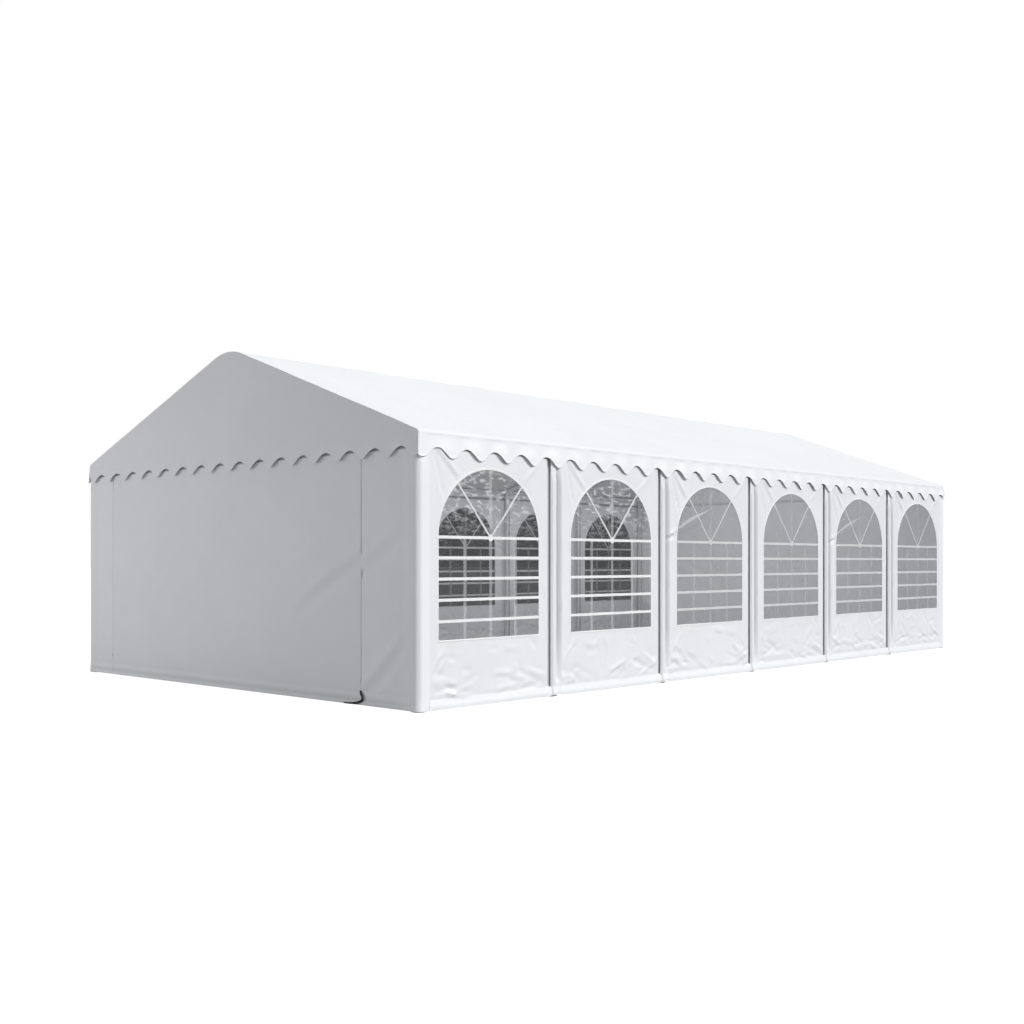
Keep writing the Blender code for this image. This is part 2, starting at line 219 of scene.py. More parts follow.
class NodeBoard:
    """Adds and joins the nodes of one material or world in few words."""

    def __init__(self, owner: bpy.types.Material | bpy.types.World) -> None:
        """Starts on the nodes that Blender gives the owner."""
        owner.use_nodes = True
        self.owner = owner
        self.tree = owner.node_tree

    @classmethod
    def material(cls, name: str) -> "NodeBoard":
        """Starts a material with a Principled shader on its output."""
        return cls(bpy.data.materials.new(name))

    def add(self, kind: str, **sockets: object) -> bpy.types.Node:
        """Adds a node and sets or joins its inputs.

        Args:
            kind: The node's type, without the ShaderNode in front.
            sockets: A value or an output socket for each input, by its name with _ for spaces.

        Returns:
            The new node.
        """
        node = self.tree.nodes.new("ShaderNode" + kind)
        for name, value in sockets.items():
            self.put(node.inputs[name.replace("_", " ")], value)
        return node

    def put(self, socket: Socket, value: object) -> None:
        """Sets an input to a value, or joins an output socket to it."""
        if isinstance(value, Socket):
            self.tree.links.new(value, socket)
        else:
            socket.default_value = value

    def base(self, **sockets: object) -> None:
        """Sets or joins inputs of the Principled shader."""
        shader = self.tree.nodes["Principled BSDF"]
        for name, value in sockets.items():
            self.put(shader.inputs[name.replace("_", " ")], value)

    def coords(self, output: str = "Object") -> Socket:
        """The chosen output of a Texture Coordinate node."""
        return self.add("TexCoord").outputs[output]

    def moved(self, vector: Socket, scale: Sequence[float]) -> Socket:
        """Coordinates stretched by a scale for each axis."""
        return self.add("Mapping", Vector=vector, Scale=tuple(scale)).outputs["Vector"]

    def noise(self, vector: Socket, scale: float, detail: float = 3.0,
              roughness: float = 0.5, distortion: float = 0.0) -> Socket:
        """The factor of a Noise texture."""
        node = self.add("TexNoise", Vector=vector, Scale=scale, Detail=detail,
                        Roughness=roughness, Distortion=distortion)
        return node.outputs["Fac"]

    def threads(self, vector: Socket, axis: str, spacing: float) -> Socket:
        """Fine even lines across one axis; a Wave texture of scale 1 repeats each tau / 20."""
        node = self.add("TexWave", Vector=vector, Scale=math.tau / 20 / spacing)
        node.wave_type = "BANDS"
        node.bands_direction = axis
        return node.outputs["Fac"]

    def math(self, operation: str, *values: object) -> Socket:
        """The result of a Math node."""
        node = self.add("Math")
        node.operation = operation
        for socket, value in zip(node.inputs, values):
            self.put(socket, value)
        return node.outputs[0]

    def spread(self, value: Socket, low: float, high: float, to_low: float,
               to_high: float) -> Socket:
        """Takes the range low to high softly to another range.

        Args:
            value: What is taken.
            low: The range's start.
            high: The range's end.
            to_low: What the start becomes.
            to_high: What the end becomes.

        Returns:
            The new value.
        """
        node = self.add("MapRange")
        node.interpolation_type = "SMOOTHSTEP"
        values = (value, low, high, to_low, to_high)
        names = ("Value", "From Min", "From Max", "To Min", "To Max")
        for name, entry in zip(names, values):
            self.put(node.inputs[name], entry)
        return node.outputs["Result"]

    def blend(self, share: object, first: object, second: object, way: str = "MIX") -> Socket:
        """A colour between two others.

        Args:
            share: How much of the second one is taken, from 0 to 1.
            first: A colour or a colour socket.
            second: Another one.
            way: The Mix node's blend type.

        Returns:
            The blended colour.
        """
        node = self.add("Mix")
        node.data_type = "RGBA"
        node.blend_type = way
        self.put(node.inputs["Factor"], share)
        for socket, color in zip(node.inputs[6:8], (first, second)):
            self.put(socket, (*color, 1.0) if isinstance(color, tuple) else color)
        return node.outputs[2]

    def mix_shaders(self, share: Socket, first: bpy.types.Node,
                    second: bpy.types.Node) -> bpy.types.Node:
        """A Mix Shader node between the first outputs of two others."""
        node = self.add("MixShader")
        for socket, value in zip(node.inputs, (share, first.outputs[0], second.outputs[0])):
            self.put(socket, value)
        return node

    def bumps(self, *layers: tuple[Socket, float, float]) -> None:
        """Stacks bump layers, each a height socket with its strength and distance."""
        normal = None
        for height, strength, distance in layers:
            node = self.add("Bump", Height=height, Strength=strength, Distance=distance)
            if normal is not None:
                self.put(node.inputs["Normal"], normal)
            normal = node.outputs["Normal"]
        self.base(Normal=normal)


class Finish:
    """A surface finish, whose material is made once and then shared."""

    made: dict["Finish", bpy.types.Material] = {}

    def material(self) -> bpy.types.Material:
        """The finish's material."""
        if self not in Finish.made:
            Finish.made[self] = self.mix()
        return Finish.made[self]

    def mix(self) -> bpy.types.Material:
        """Builds the material's nodes."""
        raise NotImplementedError


@dataclass(frozen=True)
class CoatedFabric(Finish):
    """White polyester sheet with a smooth, slightly glossy plastic coating on both faces."""

    name: str
    color: Color
    shade: Color
    swell: float
    crease: float
    # Painted shade: the height where a grey band of painted shadow under the valance starts, and
    # how strong the painted shade beside the post strips is.
    tape_from: float = 0.0
    groove_shade: float = 0.0
    thread: float = 0.0026
    roughness: float = 0.42
    # The colours of the painted shadow band under the valance and of the painted groove shade.
    tape_color: Color = (0.36, 0.365, 0.38)
    dirt_color: Color = (0.42, 0.43, 0.45)

    def creases(self, board: NodeBoard, place: Socket, size: float,
                spot: float) -> Socket:
        """Sharp little creases in some places and smooth sheet in the others.

        Args:
            board: The material's nodes.
            place: The coordinates to read.
            size: How close together the creases lie.
            spot: How close together the creased places lie.

        Returns:
            The height of the creases.
        """
        wander = board.noise(place, size, 2.0, 0.45, 1.4)
        off = board.math("ABSOLUTE", board.math("SUBTRACT", wander, 0.5))
        line = board.spread(off, 0.0, 0.055, 1.0, 0.0)
        chosen = board.spread(board.noise(place, spot, 1.0), 0.50, 0.66, 0.0, 1.0)
        return board.math("MULTIPLY", line, chosen)

    def worn(self, board: NodeBoard, color: Socket, cloth: Socket) -> Socket:
        """Adds painted shade: a grey band of painted shadow under a wall's top, and painted shade
        in the groove beside a strip.

        Args:
            board: The material's nodes.
            color: The sheet's colour.
            cloth: The sheet's flat places, along the wall and upwards.

        Returns:
            The colour with both.
        """
        split = board.add("SeparateXYZ", Vector=cloth)
        across, height = split.outputs["X"], split.outputs["Y"]
        # A grey band of painted shadow across the wall's top, seen where it lies behind the lifted
        # scallops.
        low, high = self.tape_from, self.tape_from + 0.040
        tape = board.math("MULTIPLY", board.spread(height, low, low + 0.018, 0.0, 1.0),
                          board.spread(height, high, high + 0.012, 1.0, 0.0))
        # Painted shade in the groove right of each post strip: it fades in above the hem and
        # weakens under the valance.
        rise = board.spread(across, 0.018, 0.036, 0.0, 1.0)
        fall = board.spread(across, 0.046, 0.112, 1.0, 0.0)
        tall = board.math("MULTIPLY", board.spread(height, 0.13, 0.75, 0.0, 1.0),
                          board.spread(height, 2.20, 2.40, 1.0, 0.3))
        groove_shading = board.math("MULTIPLY", board.math("MULTIPLY", rise, fall), tall)
        groove_shade_share = board.math("MULTIPLY", groove_shading, self.groove_shade)
        return board.blend(tape, board.blend(groove_shade_share, color, self.dirt_color), self.tape_color)

    def mix(self) -> bpy.types.Material:
        """Soft tone changes, a fine scrim under the coating, soft swells and small creases.

        Returns:
            The material.
        """
        board = NodeBoard.material(self.name)
        place = board.coords()
        cloth = board.coords("UV")
        tone = board.noise(place, 0.7, 4.0, 0.6, 0.3)
        scuff = board.noise(place, 5.0, 6.0, 0.65, 0.8)
        share = board.math("MULTIPLY_ADD", scuff, 0.35, tone)
        color = board.blend(board.spread(share, 0.45, 0.85, 0.0, 1.0), self.color, self.shade)
        # Painted shadow under the valance and painted shade in the strip grooves, on the sheets
        # that ask for them.
        if self.tape_from:
            color = self.worn(board, color, cloth)
        rough = board.spread(scuff, 0.3, 0.7, self.roughness - 0.06, self.roughness + 0.08)
        warp = board.threads(cloth, "X", self.thread)
        weft = board.threads(cloth, "Y", self.thread)
        scrim = board.math("ADD", warp, weft)
        board.base(Base_Color=color, Roughness=rough, Specular_IOR_Level=0.45)
        board.bumps(
            (board.noise(place, 3.2, 2.0, 0.4, 0.3), self.swell, 0.012),
            (self.creases(board, place, 2.6, 0.9), self.crease, 0.0048),
            (self.creases(board, place, 6.5, 1.8), self.crease * 0.6, 0.0014),
            (scrim, 0.08, 0.0002),
        )
        return board.owner


@dataclass(frozen=True)
class ClearFilm(Finish):
    """Soft, clear window film, with painted highlights along its small creases."""

    name: str
    color: Color
    glint_color: Color
    haze: float
    glint_haze: float
    arch_glints: float
    low_glints: float

    def mix(self) -> bpy.types.Material:
        """Haze, with short painted highlights on its creases, which run mostly level and gather in
        the arch.

        Returns:
            The material.
        """
        board = NodeBoard.material(self.name)
        place = board.coords()
        long = board.moved(place, (9.0, 9.0, 23.0))
        dabs = board.noise(long, 1.0, 2.0, 0.5, 0.5)
        # Painted highlights: the crease marks are drawn whiter and less clear, most of all in the
        # arch.
        marks = board.spread(dabs, 0.46, 0.66, 0.0, 1.0)
        height = board.add("SeparateXYZ", Vector=place).outputs["Z"]
        gathered = board.spread(height, 1.55, 1.98, self.low_glints, self.arch_glints)
        crease = board.math("MULTIPLY", marks, gathered)
        cloud = board.noise(place, 1.3, 2.0, 0.5, 0.2)
        haze = board.spread(cloud, 0.3, 0.7, self.haze * 0.92, self.haze * 1.08)
        alpha = board.math("MULTIPLY_ADD", crease, self.glint_haze - self.haze, haze)
        board.base(
            Base_Color=board.blend(crease, self.color, self.glint_color),
            Alpha=alpha,
            Roughness=board.spread(cloud, 0.3, 0.7, 0.10, 0.18),
            Specular_IOR_Level=0.5,
        )
        board.bumps((dabs, 0.35, 0.006), (board.noise(place, 34.0, 2.0), 0.12, 0.002))
        return board.owner


@dataclass(frozen=True)
class GalvanisedSteel(Finish):
    """Zinc-coated steel with dull, cloudy spangles."""

    name: str = "galvanised_steel"
    color: Color = (0.88, 0.885, 0.89)
    dull: Color = (0.77, 0.78, 0.79)

    def mix(self) -> bpy.types.Material:
        """Spangles in the colour and the roughness, and a faint pitting.

        Returns:
            The material.
        """
        board = NodeBoard.material(self.name)
        place = board.coords()
        cells = board.add("TexVoronoi", Vector=place, Scale=85.0).outputs["Color"]
        spangle = board.add("SeparateColor", Color=cells).outputs[0]
        cloud = board.noise(place, 6.0, 4.0, 0.6)
        share = board.math("MULTIPLY_ADD", spangle, 0.4, board.math("MULTIPLY", cloud, 0.6))
        board.base(
            Base_Color=board.blend(share, self.dull, self.color),
            Roughness=board.spread(share, 0.2, 0.8, 0.60, 0.42),
            Metallic=0.15,
        )
        board.bumps((board.noise(place, 180.0, 3.0), 0.15, 0.0004))
        return board.owner


@dataclass(frozen=True)
class PlainPlastic(Finish):
    """Moulded or woven plastic with a fine grain, for zips, the black foot band and welded strips.
    """

    name: str
    color: Color
    shade: Color
    roughness: float = 0.45
    grain: float = 900.0
    cover: float = 1.0

    def mix(self) -> bpy.types.Material:
        """A fine grain and slightly uneven tone.

        Returns:
            The material.
        """
        board = NodeBoard.material(self.name)
        place = board.coords()
        tone = board.noise(place, 4.0, 4.0, 0.6)
        board.base(
            Base_Color=board.blend(board.spread(tone, 0.3, 0.7, 0.0, 1.0), self.color, self.shade),
            Roughness=board.spread(tone, 0.3, 0.7, self.roughness - 0.05, self.roughness + 0.07),
            Alpha=self.cover,
        )
        board.bumps((board.noise(place, self.grain, 2.0), 0.2, 0.0003))
        return board.owner


# The height where the grey band of painted shadow under the valances starts.
VALANCE_SHADOW_FROM = 2.462
# The tent is one white sheet, but each part takes its own white, set to how the lamps light it:
# darker on the sunlit roof, lighter on the shaded gable, lightest on the valances and the corner
# leaves. That spread of whites is painted light.
BRIGHT, BRIGHT_SHADE = (0.915, 0.92, 0.94), (0.89, 0.895, 0.915)
WHITE, WHITE_SHADE = (0.89, 0.90, 0.925), (0.865, 0.875, 0.90)
MILKY, MILKY_SHADE = (0.90, 0.905, 0.91), (0.86, 0.865, 0.87)

ROOF_FABRIC = CoatedFabric("roof_sheet", (0.815, 0.825, 0.84), (0.79, 0.80, 0.815), 0.22, 0.06)
GABLE_FABRIC = CoatedFabric("gable_sheet", WHITE, WHITE_SHADE, 0.12, 0.03)
# The door and corner leaves take the painted shadow band under the gable's scallops.
DOOR_FABRIC = CoatedFabric("door_sheet", WHITE, WHITE_SHADE, 0.12, 0.03, VALANCE_SHADOW_FROM)
EDGE_FABRIC = CoatedFabric("edge_sheet", BRIGHT, BRIGHT_SHADE, 0.12, 0.03)
LEAF_FABRIC = CoatedFabric("leaf_sheet", BRIGHT, BRIGHT_SHADE, 0.12, 0.03, VALANCE_SHADOW_FROM)
# The wall sheet takes painted shade in the groove beside each post strip, and the painted shadow
# band under its valance.
WALL_FABRIC = CoatedFabric(
    "wall_sheet", (0.865, 0.875, 0.90), (0.84, 0.85, 0.875), 0.24, 0.16, VALANCE_SHADOW_FROM,
    groove_shade=0.75,
)
WELD_WHITE = PlainPlastic("welded_strip", (0.93, 0.93, 0.93), (0.89, 0.895, 0.90), 0.38, 300.0)
WELD_SOFT = PlainPlastic("worn_welded_strip", MILKY, MILKY_SHADE, 0.42, 300.0, 0.62)
WELD_FAINT = PlainPlastic(
    "thin_welded_strip", (0.80, 0.805, 0.81), (0.75, 0.755, 0.76), 0.38, 300.0, 0.20
)
SPOKE_CLEAR = PlainPlastic("spoke_strip", MILKY, MILKY_SHADE, 0.42, 300.0, 0.74)
SPOKE_HAZY = PlainPlastic("worn_spoke_strip", MILKY, MILKY_SHADE, 0.42, 300.0, 0.44)
# A milky strip laid along a film fold, as a painted highlight of the fold.
FOLD_GLINT_STRIP = PlainPlastic("fold_glint_strip", MILKY, MILKY_SHADE, 0.42, 300.0, 0.30)
# A real tape behind the slot, whose grey is painted shade for the shadow in the slot.
SLOT_SHADE_TAPE = PlainPlastic("slot_tape", (0.52, 0.525, 0.535), (0.48, 0.485, 0.495), 0.7, 700.0)
CLEAR_FILM = ClearFilm(
    "clear_window_film", (0.20, 0.205, 0.21), (0.90, 0.91, 0.92), haze=0.06, glint_haze=0.27,
    arch_glints=1.0, low_glints=0.12,
)
HAZY_FILM = ClearFilm(
    "hazy_window_film", (0.385, 0.395, 0.415), (0.80, 0.81, 0.83), haze=0.44, glint_haze=0.52,
    arch_glints=0.16, low_glints=0.1,
)
STEEL = GalvanisedSteel()
ZIP_TAPE = PlainPlastic("zip_tape", (0.88, 0.89, 0.905), (0.84, 0.85, 0.865), 0.6, 700.0)
ZIP_TEETH = PlainPlastic("zip_teeth", (0.83, 0.835, 0.85), (0.78, 0.785, 0.80), 0.35, 500.0)
BLACK_FOOT_BAND = PlainPlastic("black_foot_band", (0.018, 0.018, 0.02), (0.03, 0.03, 0.032), 0.55, 700.0)


def move(bm: Shape, matrix: Matrix) -> None:
    """Moves, turns or scales a whole bmesh."""
    bmesh.ops.transform(bm, matrix=matrix, verts=bm.verts[:])


def soften(bm: Shape, edges: Sequence[bmesh.types.BMEdge], offset: float,
           segments: int = 2) -> None:
    """Bevels some edges of a bmesh."""
    bmesh.ops.bevel(
        bm, geom=edges, offset=offset, segments=segments, profile=0.5, affect="EDGES", material=-1
    )


@dataclass
class Piece:
    """A finished mesh on its way into the scene."""

    name: str
    finish: Finish
    slot: Slot
    replaces: Sequence[str] = ()

    def place(self, bm: Shape, spot: Matrix | None = None) -> bpy.types.Object:
        """Adds the bmesh as an object that rides on the tent.

        Args:
            bm: The shape. It is freed.
            spot: Takes the shape to its final place, where it isn't there yet.

        Returns:
            The new object.
        """
        if spot is not None:
            move(bm, spot)
        bm.normal_update()
        mesh = bpy.data.meshes.new(self.name)
        bm.to_mesh(mesh)
        bm.free()
        mesh.shade_smooth()
        mesh.set_sharp_from_angle(angle=SHARP_ANGLE)
        mesh.materials.append(self.finish.material())
        obj = bpy.data.objects.new(self.name, mesh)
        bpy.context.scene.collection.objects.link(obj)
        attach(obj, BODY)
        if self.replaces:
            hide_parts(*self.replaces)
        LOG.info("%s: %d faces", self.name, len(mesh.polygons))
        return obj


def cloth_grid(us: Sequence[float], vs: Sequence[float]) -> Shape:
    """A flat sheet in the plane of a wall, with its flat place kept as its UV map.

    Args:
        us: The places of its columns along the wall.
        vs: The heights of its rows.

    Returns:
        A bmesh whose points lie at (u, 0, v) and whose faces look outwards, along -Y.
    """
    bm = bmesh.new()
    columns, rows = len(us) - 1, len(vs) - 1
    bmesh.ops.create_grid(bm, x_segments=columns, y_segments=rows, size=0.5)
    for vert in bm.verts:
        column = round((vert.co.x + 0.5) * columns)
        row = round((vert.co.y + 0.5) * rows)
        vert.co = (us[column], 0.0, vs[row])
    bm.loops.layers.uv.new(CLOTH_MAP)
    write_cloth_map(bm)
    return bm


def write_cloth_map(bm: Shape) -> None:
    """Writes each point's present place on the wall to its UV map."""
    layer = bm.loops.layers.uv[CLOTH_MAP]
    for face in bm.faces:
        for loop in face.loops:
            loop[layer].uv = (loop.vert.co.x, loop.vert.co.z)


def shape(bm: Shape, place: Callable[[float, float], Sequence[float]]) -> None:
    """Takes each point of a flat grid from (u, v) to its place in space."""
    for vert in bm.verts:
        vert.co = place(vert.co.x, vert.co.z)


def raise_relief(bm: Shape, relief: Relief, inward: float = 0.0) -> None:
    """Pushes a wall's points out by the relief, from a plane that lies a little inward."""
    for vert in bm.verts:
        vert.co.y = inward - relief(vert.co.x, vert.co.z)


def thicken(bm: Shape, thickness: float) -> None:
    """Gives a sheet its thickness, behind its face."""
    bm.normal_update()
    bmesh.ops.solidify(bm, geom=bm.faces[:], thickness=thickness)


def join_into(target: Shape, part: Shape) -> None:
    """Adds one bmesh to another and frees it."""
    mesh = bpy.data.meshes.new("part")
    part.to_mesh(mesh)
    part.free()
    target.from_mesh(mesh)
    bpy.data.meshes.remove(mesh)


def cylinder(start: Vector, end: Vector, radius: float, sides: int = 20,
             chamfer: float = 0.0) -> Shape:
    """A closed round bar between two points, with its ends chamfered if asked.

    Args:
        start: The middle of one end.
        end: The middle of the other end.
        radius: The bar's radius.
        sides: How many flat sides make the round.
        chamfer: The size of the chamfer at both ends.

    Returns:
        The bar as a bmesh.
    """
    bm = bmesh.new()
    line = end - start
    bmesh.ops.create_cone(
        bm, cap_ends=True, segments=sides, radius1=radius, radius2=radius, depth=line.length
    )
    if chamfer:
        soften(bm, [edge for edge in bm.edges if is_level(edge)], chamfer)
    turn = line.to_track_quat("Z", "Y").to_matrix().to_4x4()
    move(bm, Matrix.Translation((start + end) / 2) @ turn)
    return bm


def is_level(edge: bmesh.types.BMEdge) -> bool:
    """True for an edge whose two ends are at one height."""
    low, high = edge.verts
    return round(low.co.z, 5) == round(high.co.z, 5)


@dataclass(frozen=True)
class Fold:
    """A soft fold in a sheet, along a line between two places.

    A positive height stands out and a negative one is a groove. The line may bow sideways, and the
    fold fades towards both ends.
    """

    start: Point
    end: Point
    height: float
    width: float
    bow: float = 0.0

    def relief(self, u: float, v: float) -> float:
        """How far the fold stands out at a place.

        Args:
            u: A place along the wall.
            v: A height.

        Returns:
            The distance from the flat sheet.
        """
        du, dv = self.end[0] - self.start[0], self.end[1] - self.start[1]
        length = math.hypot(du, dv)
        share = ((u - self.start[0]) * du + (v - self.start[1]) * dv) / length**2
        if not 0 < share < 1:
            return 0.0
        off = ((u - self.start[0]) * dv - (v - self.start[1]) * du) / length
        off -= self.bow * 4 * share * (1 - share)
        if abs(off) > 3 * self.width:
            return 0.0
        fade = math.sin(math.pi * share) ** 0.7
        groove = 0.45 * bump(off, 1.5 * self.width, self.width)
        return self.height * fade * (bump(off, 0.0, self.width) - groove)


def random_folds(seed: int, count: int, spot: Callable[[random.Random], Point],
                 lean: Point, length: Point, height: float) -> list[Fold]:
    """Small folds scattered over a part of a sheet, always the same ones for a seed.

    Args:
        seed: The start of the random draws.
        count: How many folds.
        spot: Draws the middle of a fold.
        lean: The least and the greatest angle of a fold to the level, in degrees.
        length: The least and the greatest length.
        height: The greatest height.

    Returns:
        The folds.
    """
    draw = random.Random(seed)
    folds = []
    for _ in range(count):
        u, v = spot(draw)
        angle = math.radians(draw.uniform(*lean))
        reach = draw.uniform(*length) / 2
        step_u, step_v = reach * math.cos(angle), reach * math.sin(angle)
        tall = height * draw.uniform(0.35, 1.0) * draw.choice((-1, 1))
        bow = draw.uniform(-0.12, 0.12) * reach
        width = draw.uniform(0.018, 0.032)
        folds.append(Fold((u - step_u, v - step_v), (u + step_u, v + step_v), tall, width, bow))
    return folds


def ripple(u: float, v: float, seed: float, size: float) -> float:
    """Gentle unevenness of a hanging sheet, from about -1 to 1, with lumps of a size in metres."""
    spot = Vector((u / size, v / size, seed))
    return noise.noise(spot) + 0.4 * noise.noise(spot * 2.3 + Vector((5.1, 1.7, 0.0)))


@dataclass(frozen=True)
class WindowArch:
    """The arched window of a bay: a rectangle with half an ellipse on it."""

    centre: float
    half: float
    sill: float
    spring: float
    top: float

    @classmethod
    def from_frame(cls, plan: TentPlan) -> "WindowArch":
        """Reads the window's outer sizes from its film; the spring line is a size of its own.

        Args:
            plan: The tent's plan.

        Returns:
            The window's arch.
        """
        low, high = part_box("window_film_front_1")
        return cls(
            centre=(low.x + high.x) / 2 + plan.half_length,
            half=(high.x - low.x) / 2,
            sill=low.z,
            spring=1.642,
            top=high.z,
        )

    @property
    def rise(self) -> float:
        """The height of the arch above its spring line."""
        return self.top - self.spring

    @property
    def hub(self) -> Point:
        """The middle of the spring line, where the spokes meet."""
        return self.centre, self.spring

    @property
    def sides(self) -> tuple[float, float]:
        """The places of the window's left and right side."""
        return self.centre - self.half, self.centre + self.half

    @property
    def area(self) -> float:
        """The window's area: its rectangle and half an ellipse."""
        return 2 * self.half * (self.spring - self.sill) + math.pi / 2 * self.half * self.rise

    def distance(self, u: float, v: float) -> float:
        """About how far a place lies outside the window, or inside it where it is negative."""
        if v <= self.spring:
            return max(abs(u - self.centre) - self.half, self.sill - v)
        ring = math.hypot((u - self.centre) / self.half, (v - self.spring) / self.rise)
        return (ring - 1) * (self.half + self.rise) / 2

    def on_arch(self, u: float, v: float) -> Point:
        """The point of the arch in the same direction from its hub.

        Args:
            u: A place along the wall.
            v: A height.

        Returns:
            The point.
        """
        angle = math.atan2((v - self.spring) / self.rise, (u - self.centre) / self.half)
        angle = min(max(angle, 0.0), math.pi)
        return (
            self.centre + self.half * math.cos(angle),
            self.spring + self.rise * math.sin(angle),
        )

    def outline(self, inset: float, cell: float) -> list[Point]:
        """Points along the window's edge, moved inwards, from the spring line round the arch.

        Args:
            inset: How far the line lies inside the edge.
            cell: The widest step between two points.

        Returns:
            A closed line's points, with the first one not repeated.
        """
        half, rise = self.half - inset, self.rise - inset
        left, right, low = self.centre - half, self.centre + half, self.sill + inset
        arc = math.ceil(math.pi * (half + rise) / 2 / cell)
        angles = [math.pi * step / arc for step in range(arc + 1)]
        points = [(self.centre + half * math.cos(angle), self.spring + rise * math.sin(angle))
                  for angle in angles]
        upright = graded([low, self.spring], cell)
        points += [(left, v) for v in upright[-2::-1]]
        points += [(u, low) for u in graded([left, right], cell)[1:]]
        return points + [(right, v) for v in upright[1:-1]]

    def cut_arch(self, bm: Shape, keep_inside: bool, cell: float) -> None:
        """Trims a flat grid to one side of the arch, and fits its edge and its map to the curve.

        Args:
            bm: The grid, whose columns and rows already meet the straight sides.
            keep_inside: True to keep what lies inside the window, False to keep the rest.
            cell: The grid's step.
        """
        centres = [(face, face.calc_center_median()) for face in bm.faces]
        gone = [face for face, spot in centres
                if (self.distance(spot.x, spot.z) < 0) != keep_inside]
        bmesh.ops.delete(bm, geom=gone, context="FACES")
        edge, near = [], []
        for vert in bm.verts:
            gap = abs(self.distance(vert.co.x, vert.co.z))
            above = vert.co.z > self.spring + 1e-4
            if above and vert.is_boundary and gap < 1.5 * cell:
                edge.append(vert)
            elif above and not vert.is_boundary and gap < 3.0 * cell:
                near.append(vert)
        for vert in edge:
            u, v = self.on_arch(vert.co.x, vert.co.z)
            vert.co = (u, 0.0, v)
        for _ in range(4):
            bmesh.ops.smooth_vert(
                bm, verts=near, factor=0.5, use_axis_x=True, use_axis_y=False, use_axis_z=True
            )
        write_cloth_map(bm)


@dataclass
class RoofCover:
    """The roof sheet: one curved cover over both slopes, rolled round the eave tubes."""

    plan: TentPlan
    cell: float = 0.070
    roll_cell: float = 0.007
    sag: float = 0.009
    rafter_line: float = 0.0025
    lip: float = 0.010
    purlin_share: float = 0.52
    tug_pitch: float = 0.083

    def __post_init__(self) -> None:
        """Works out the lengths of the section's straight and round runs."""
        plan = self.plan
        self.bend = plan.bow_radius + plan.skin
        self.crown = self.bend * plan.slope
        tangent_y = plan.bow_radius * math.sin(plan.slope)
        self.straight = (plan.post_y - tangent_y) / math.cos(plan.slope)
        self.eave = self.crown + self.straight
        self.roll = plan.skin * (math.pi / 2 - plan.slope)
        self.reach = self.eave + self.roll + self.lip

    def section(self, run: float) -> tuple[float, float, float]:
        """The roof's section on one side.

        Args:
            run: The distance along the sheet from the ridge.

        Returns:
            The distance from the middle, the height, and the angle of the outward normal.
        """
        plan = self.plan
        if run <= self.crown:
            angle = run / self.bend
            return self.bend * math.sin(angle), plan.bow_z + self.bend * math.cos(angle), angle
        tangent_y = self.bend * math.sin(plan.slope)
        tangent_z = plan.bow_z + self.bend * math.cos(plan.slope)
        along = run - self.crown
        if along <= self.straight:
            y = tangent_y + along * math.cos(plan.slope)
            return y, tangent_z - along * math.sin(plan.slope), plan.slope
        turned = min((along - self.straight) / plan.skin, math.pi / 2 - plan.slope)
        angle = plan.slope + turned
        drop = max(along - self.straight - self.roll, 0.0)
        y = plan.post_y + plan.skin * math.sin(angle)
        return y, plan.eave_z + plan.skin * math.cos(angle) - drop, angle

    def relief(self, x: float, run: float) -> float:
        """How far the sheet stands off its true section: it sags between the tubes.

        Args:
            x: The place along the tent.
            run: The distance along the sheet from the ridge.

        Returns:
            The distance, negative where the sheet sags.
        """
        plan = self.plan
        along = (x + plan.half_length) / plan.bay
        bay_sag = math.sin(math.pi * along) ** 2
        purlin = self.crown + self.straight * self.purlin_share
        inside = min(run, self.eave)
        start, end = (0.0, purlin) if inside < purlin else (purlin, self.eave)
        across = math.sin(math.pi * (inside - start) / (end - start)) ** 2
        held = smooth_step(self.eave - run, -0.01, 0.25)
        line = self.rafter_line * bump(along - round(along), 0.0, 0.02) * held
        soft = 0.0022 * ripple(x, run, 3.7, 0.55) * held
        wander = 2.5 * noise.noise(Vector((x, run, 9.0)))
        tug = 0.0016 * math.sin(math.tau * x / self.tug_pitch + wander)
        tug *= bump(run, self.eave - 0.02, 0.09)
        return line + soft + tug * bay_sag - self.sag * bay_sag * (0.35 + 0.65 * across) * held

    def build(self) -> None:
        """Makes the cover in one sheet, from the front eave to the back one."""
        plan = self.plan
        half = graded([0.0, self.crown, self.eave], self.cell)
        half += graded([self.eave, self.eave + self.roll, self.reach], self.roll_cell)[1:]
        runs = [-run for run in half[:0:-1]] + half
        ends = [-plan.half_length + plan.bay * number for number in range(plan.bays + 1)]
        bm = cloth_grid(graded(ends, self.cell), runs)

        def place(x: float, run: float) -> Vector:
            """Where a flat place lies on the roof."""
            side = 1 if run > 0 else -1
            y, z, angle = self.section(abs(run))
            off = self.relief(x, abs(run))
            return Vector((x, side * (y + off * math.sin(angle)), z + off * math.cos(angle)))

        shape(bm, place)
        thicken(bm, FABRIC_T)
        nodes = ["roof_slope_front", "roof_slope_back"]
        cover = Piece("roof_cover", ROOF_FABRIC, Slot.ROOF, nodes).place(bm)


@dataclass(frozen=True)
class Wave:
    """The scalloped lower edge of a valance, as heights along a wall."""

    low: float
    high: float
    pitch: float
    first: float

    def height(self, along: float) -> float:
        """The height of the edge at a place."""
        swing = math.cos(math.tau * (along - self.first) / self.pitch)
        return (self.high + self.low) / 2 + swing * (self.high - self.low) / 2

    def curl(self, along: float) -> float:
        """From -1 to 1 over each tongue: greatest on the flank that falls after a crest."""
        return math.sin(math.tau * (along - self.first) / self.pitch)


LONG_WAVE = Wave(2.390, 2.490, 0.400, 0.246)
GABLE_WAVE = Wave(2.400, 2.500, 0.3636, 0.217)
VALANCE_LEAN = 0.050


def corner_lean(depth: float) -> float:
    """How far the hanging edges stand out at the tent's corners, at a depth below the eave."""
    return 0.0015 + VALANCE_LEAN * max(depth, 0.0)


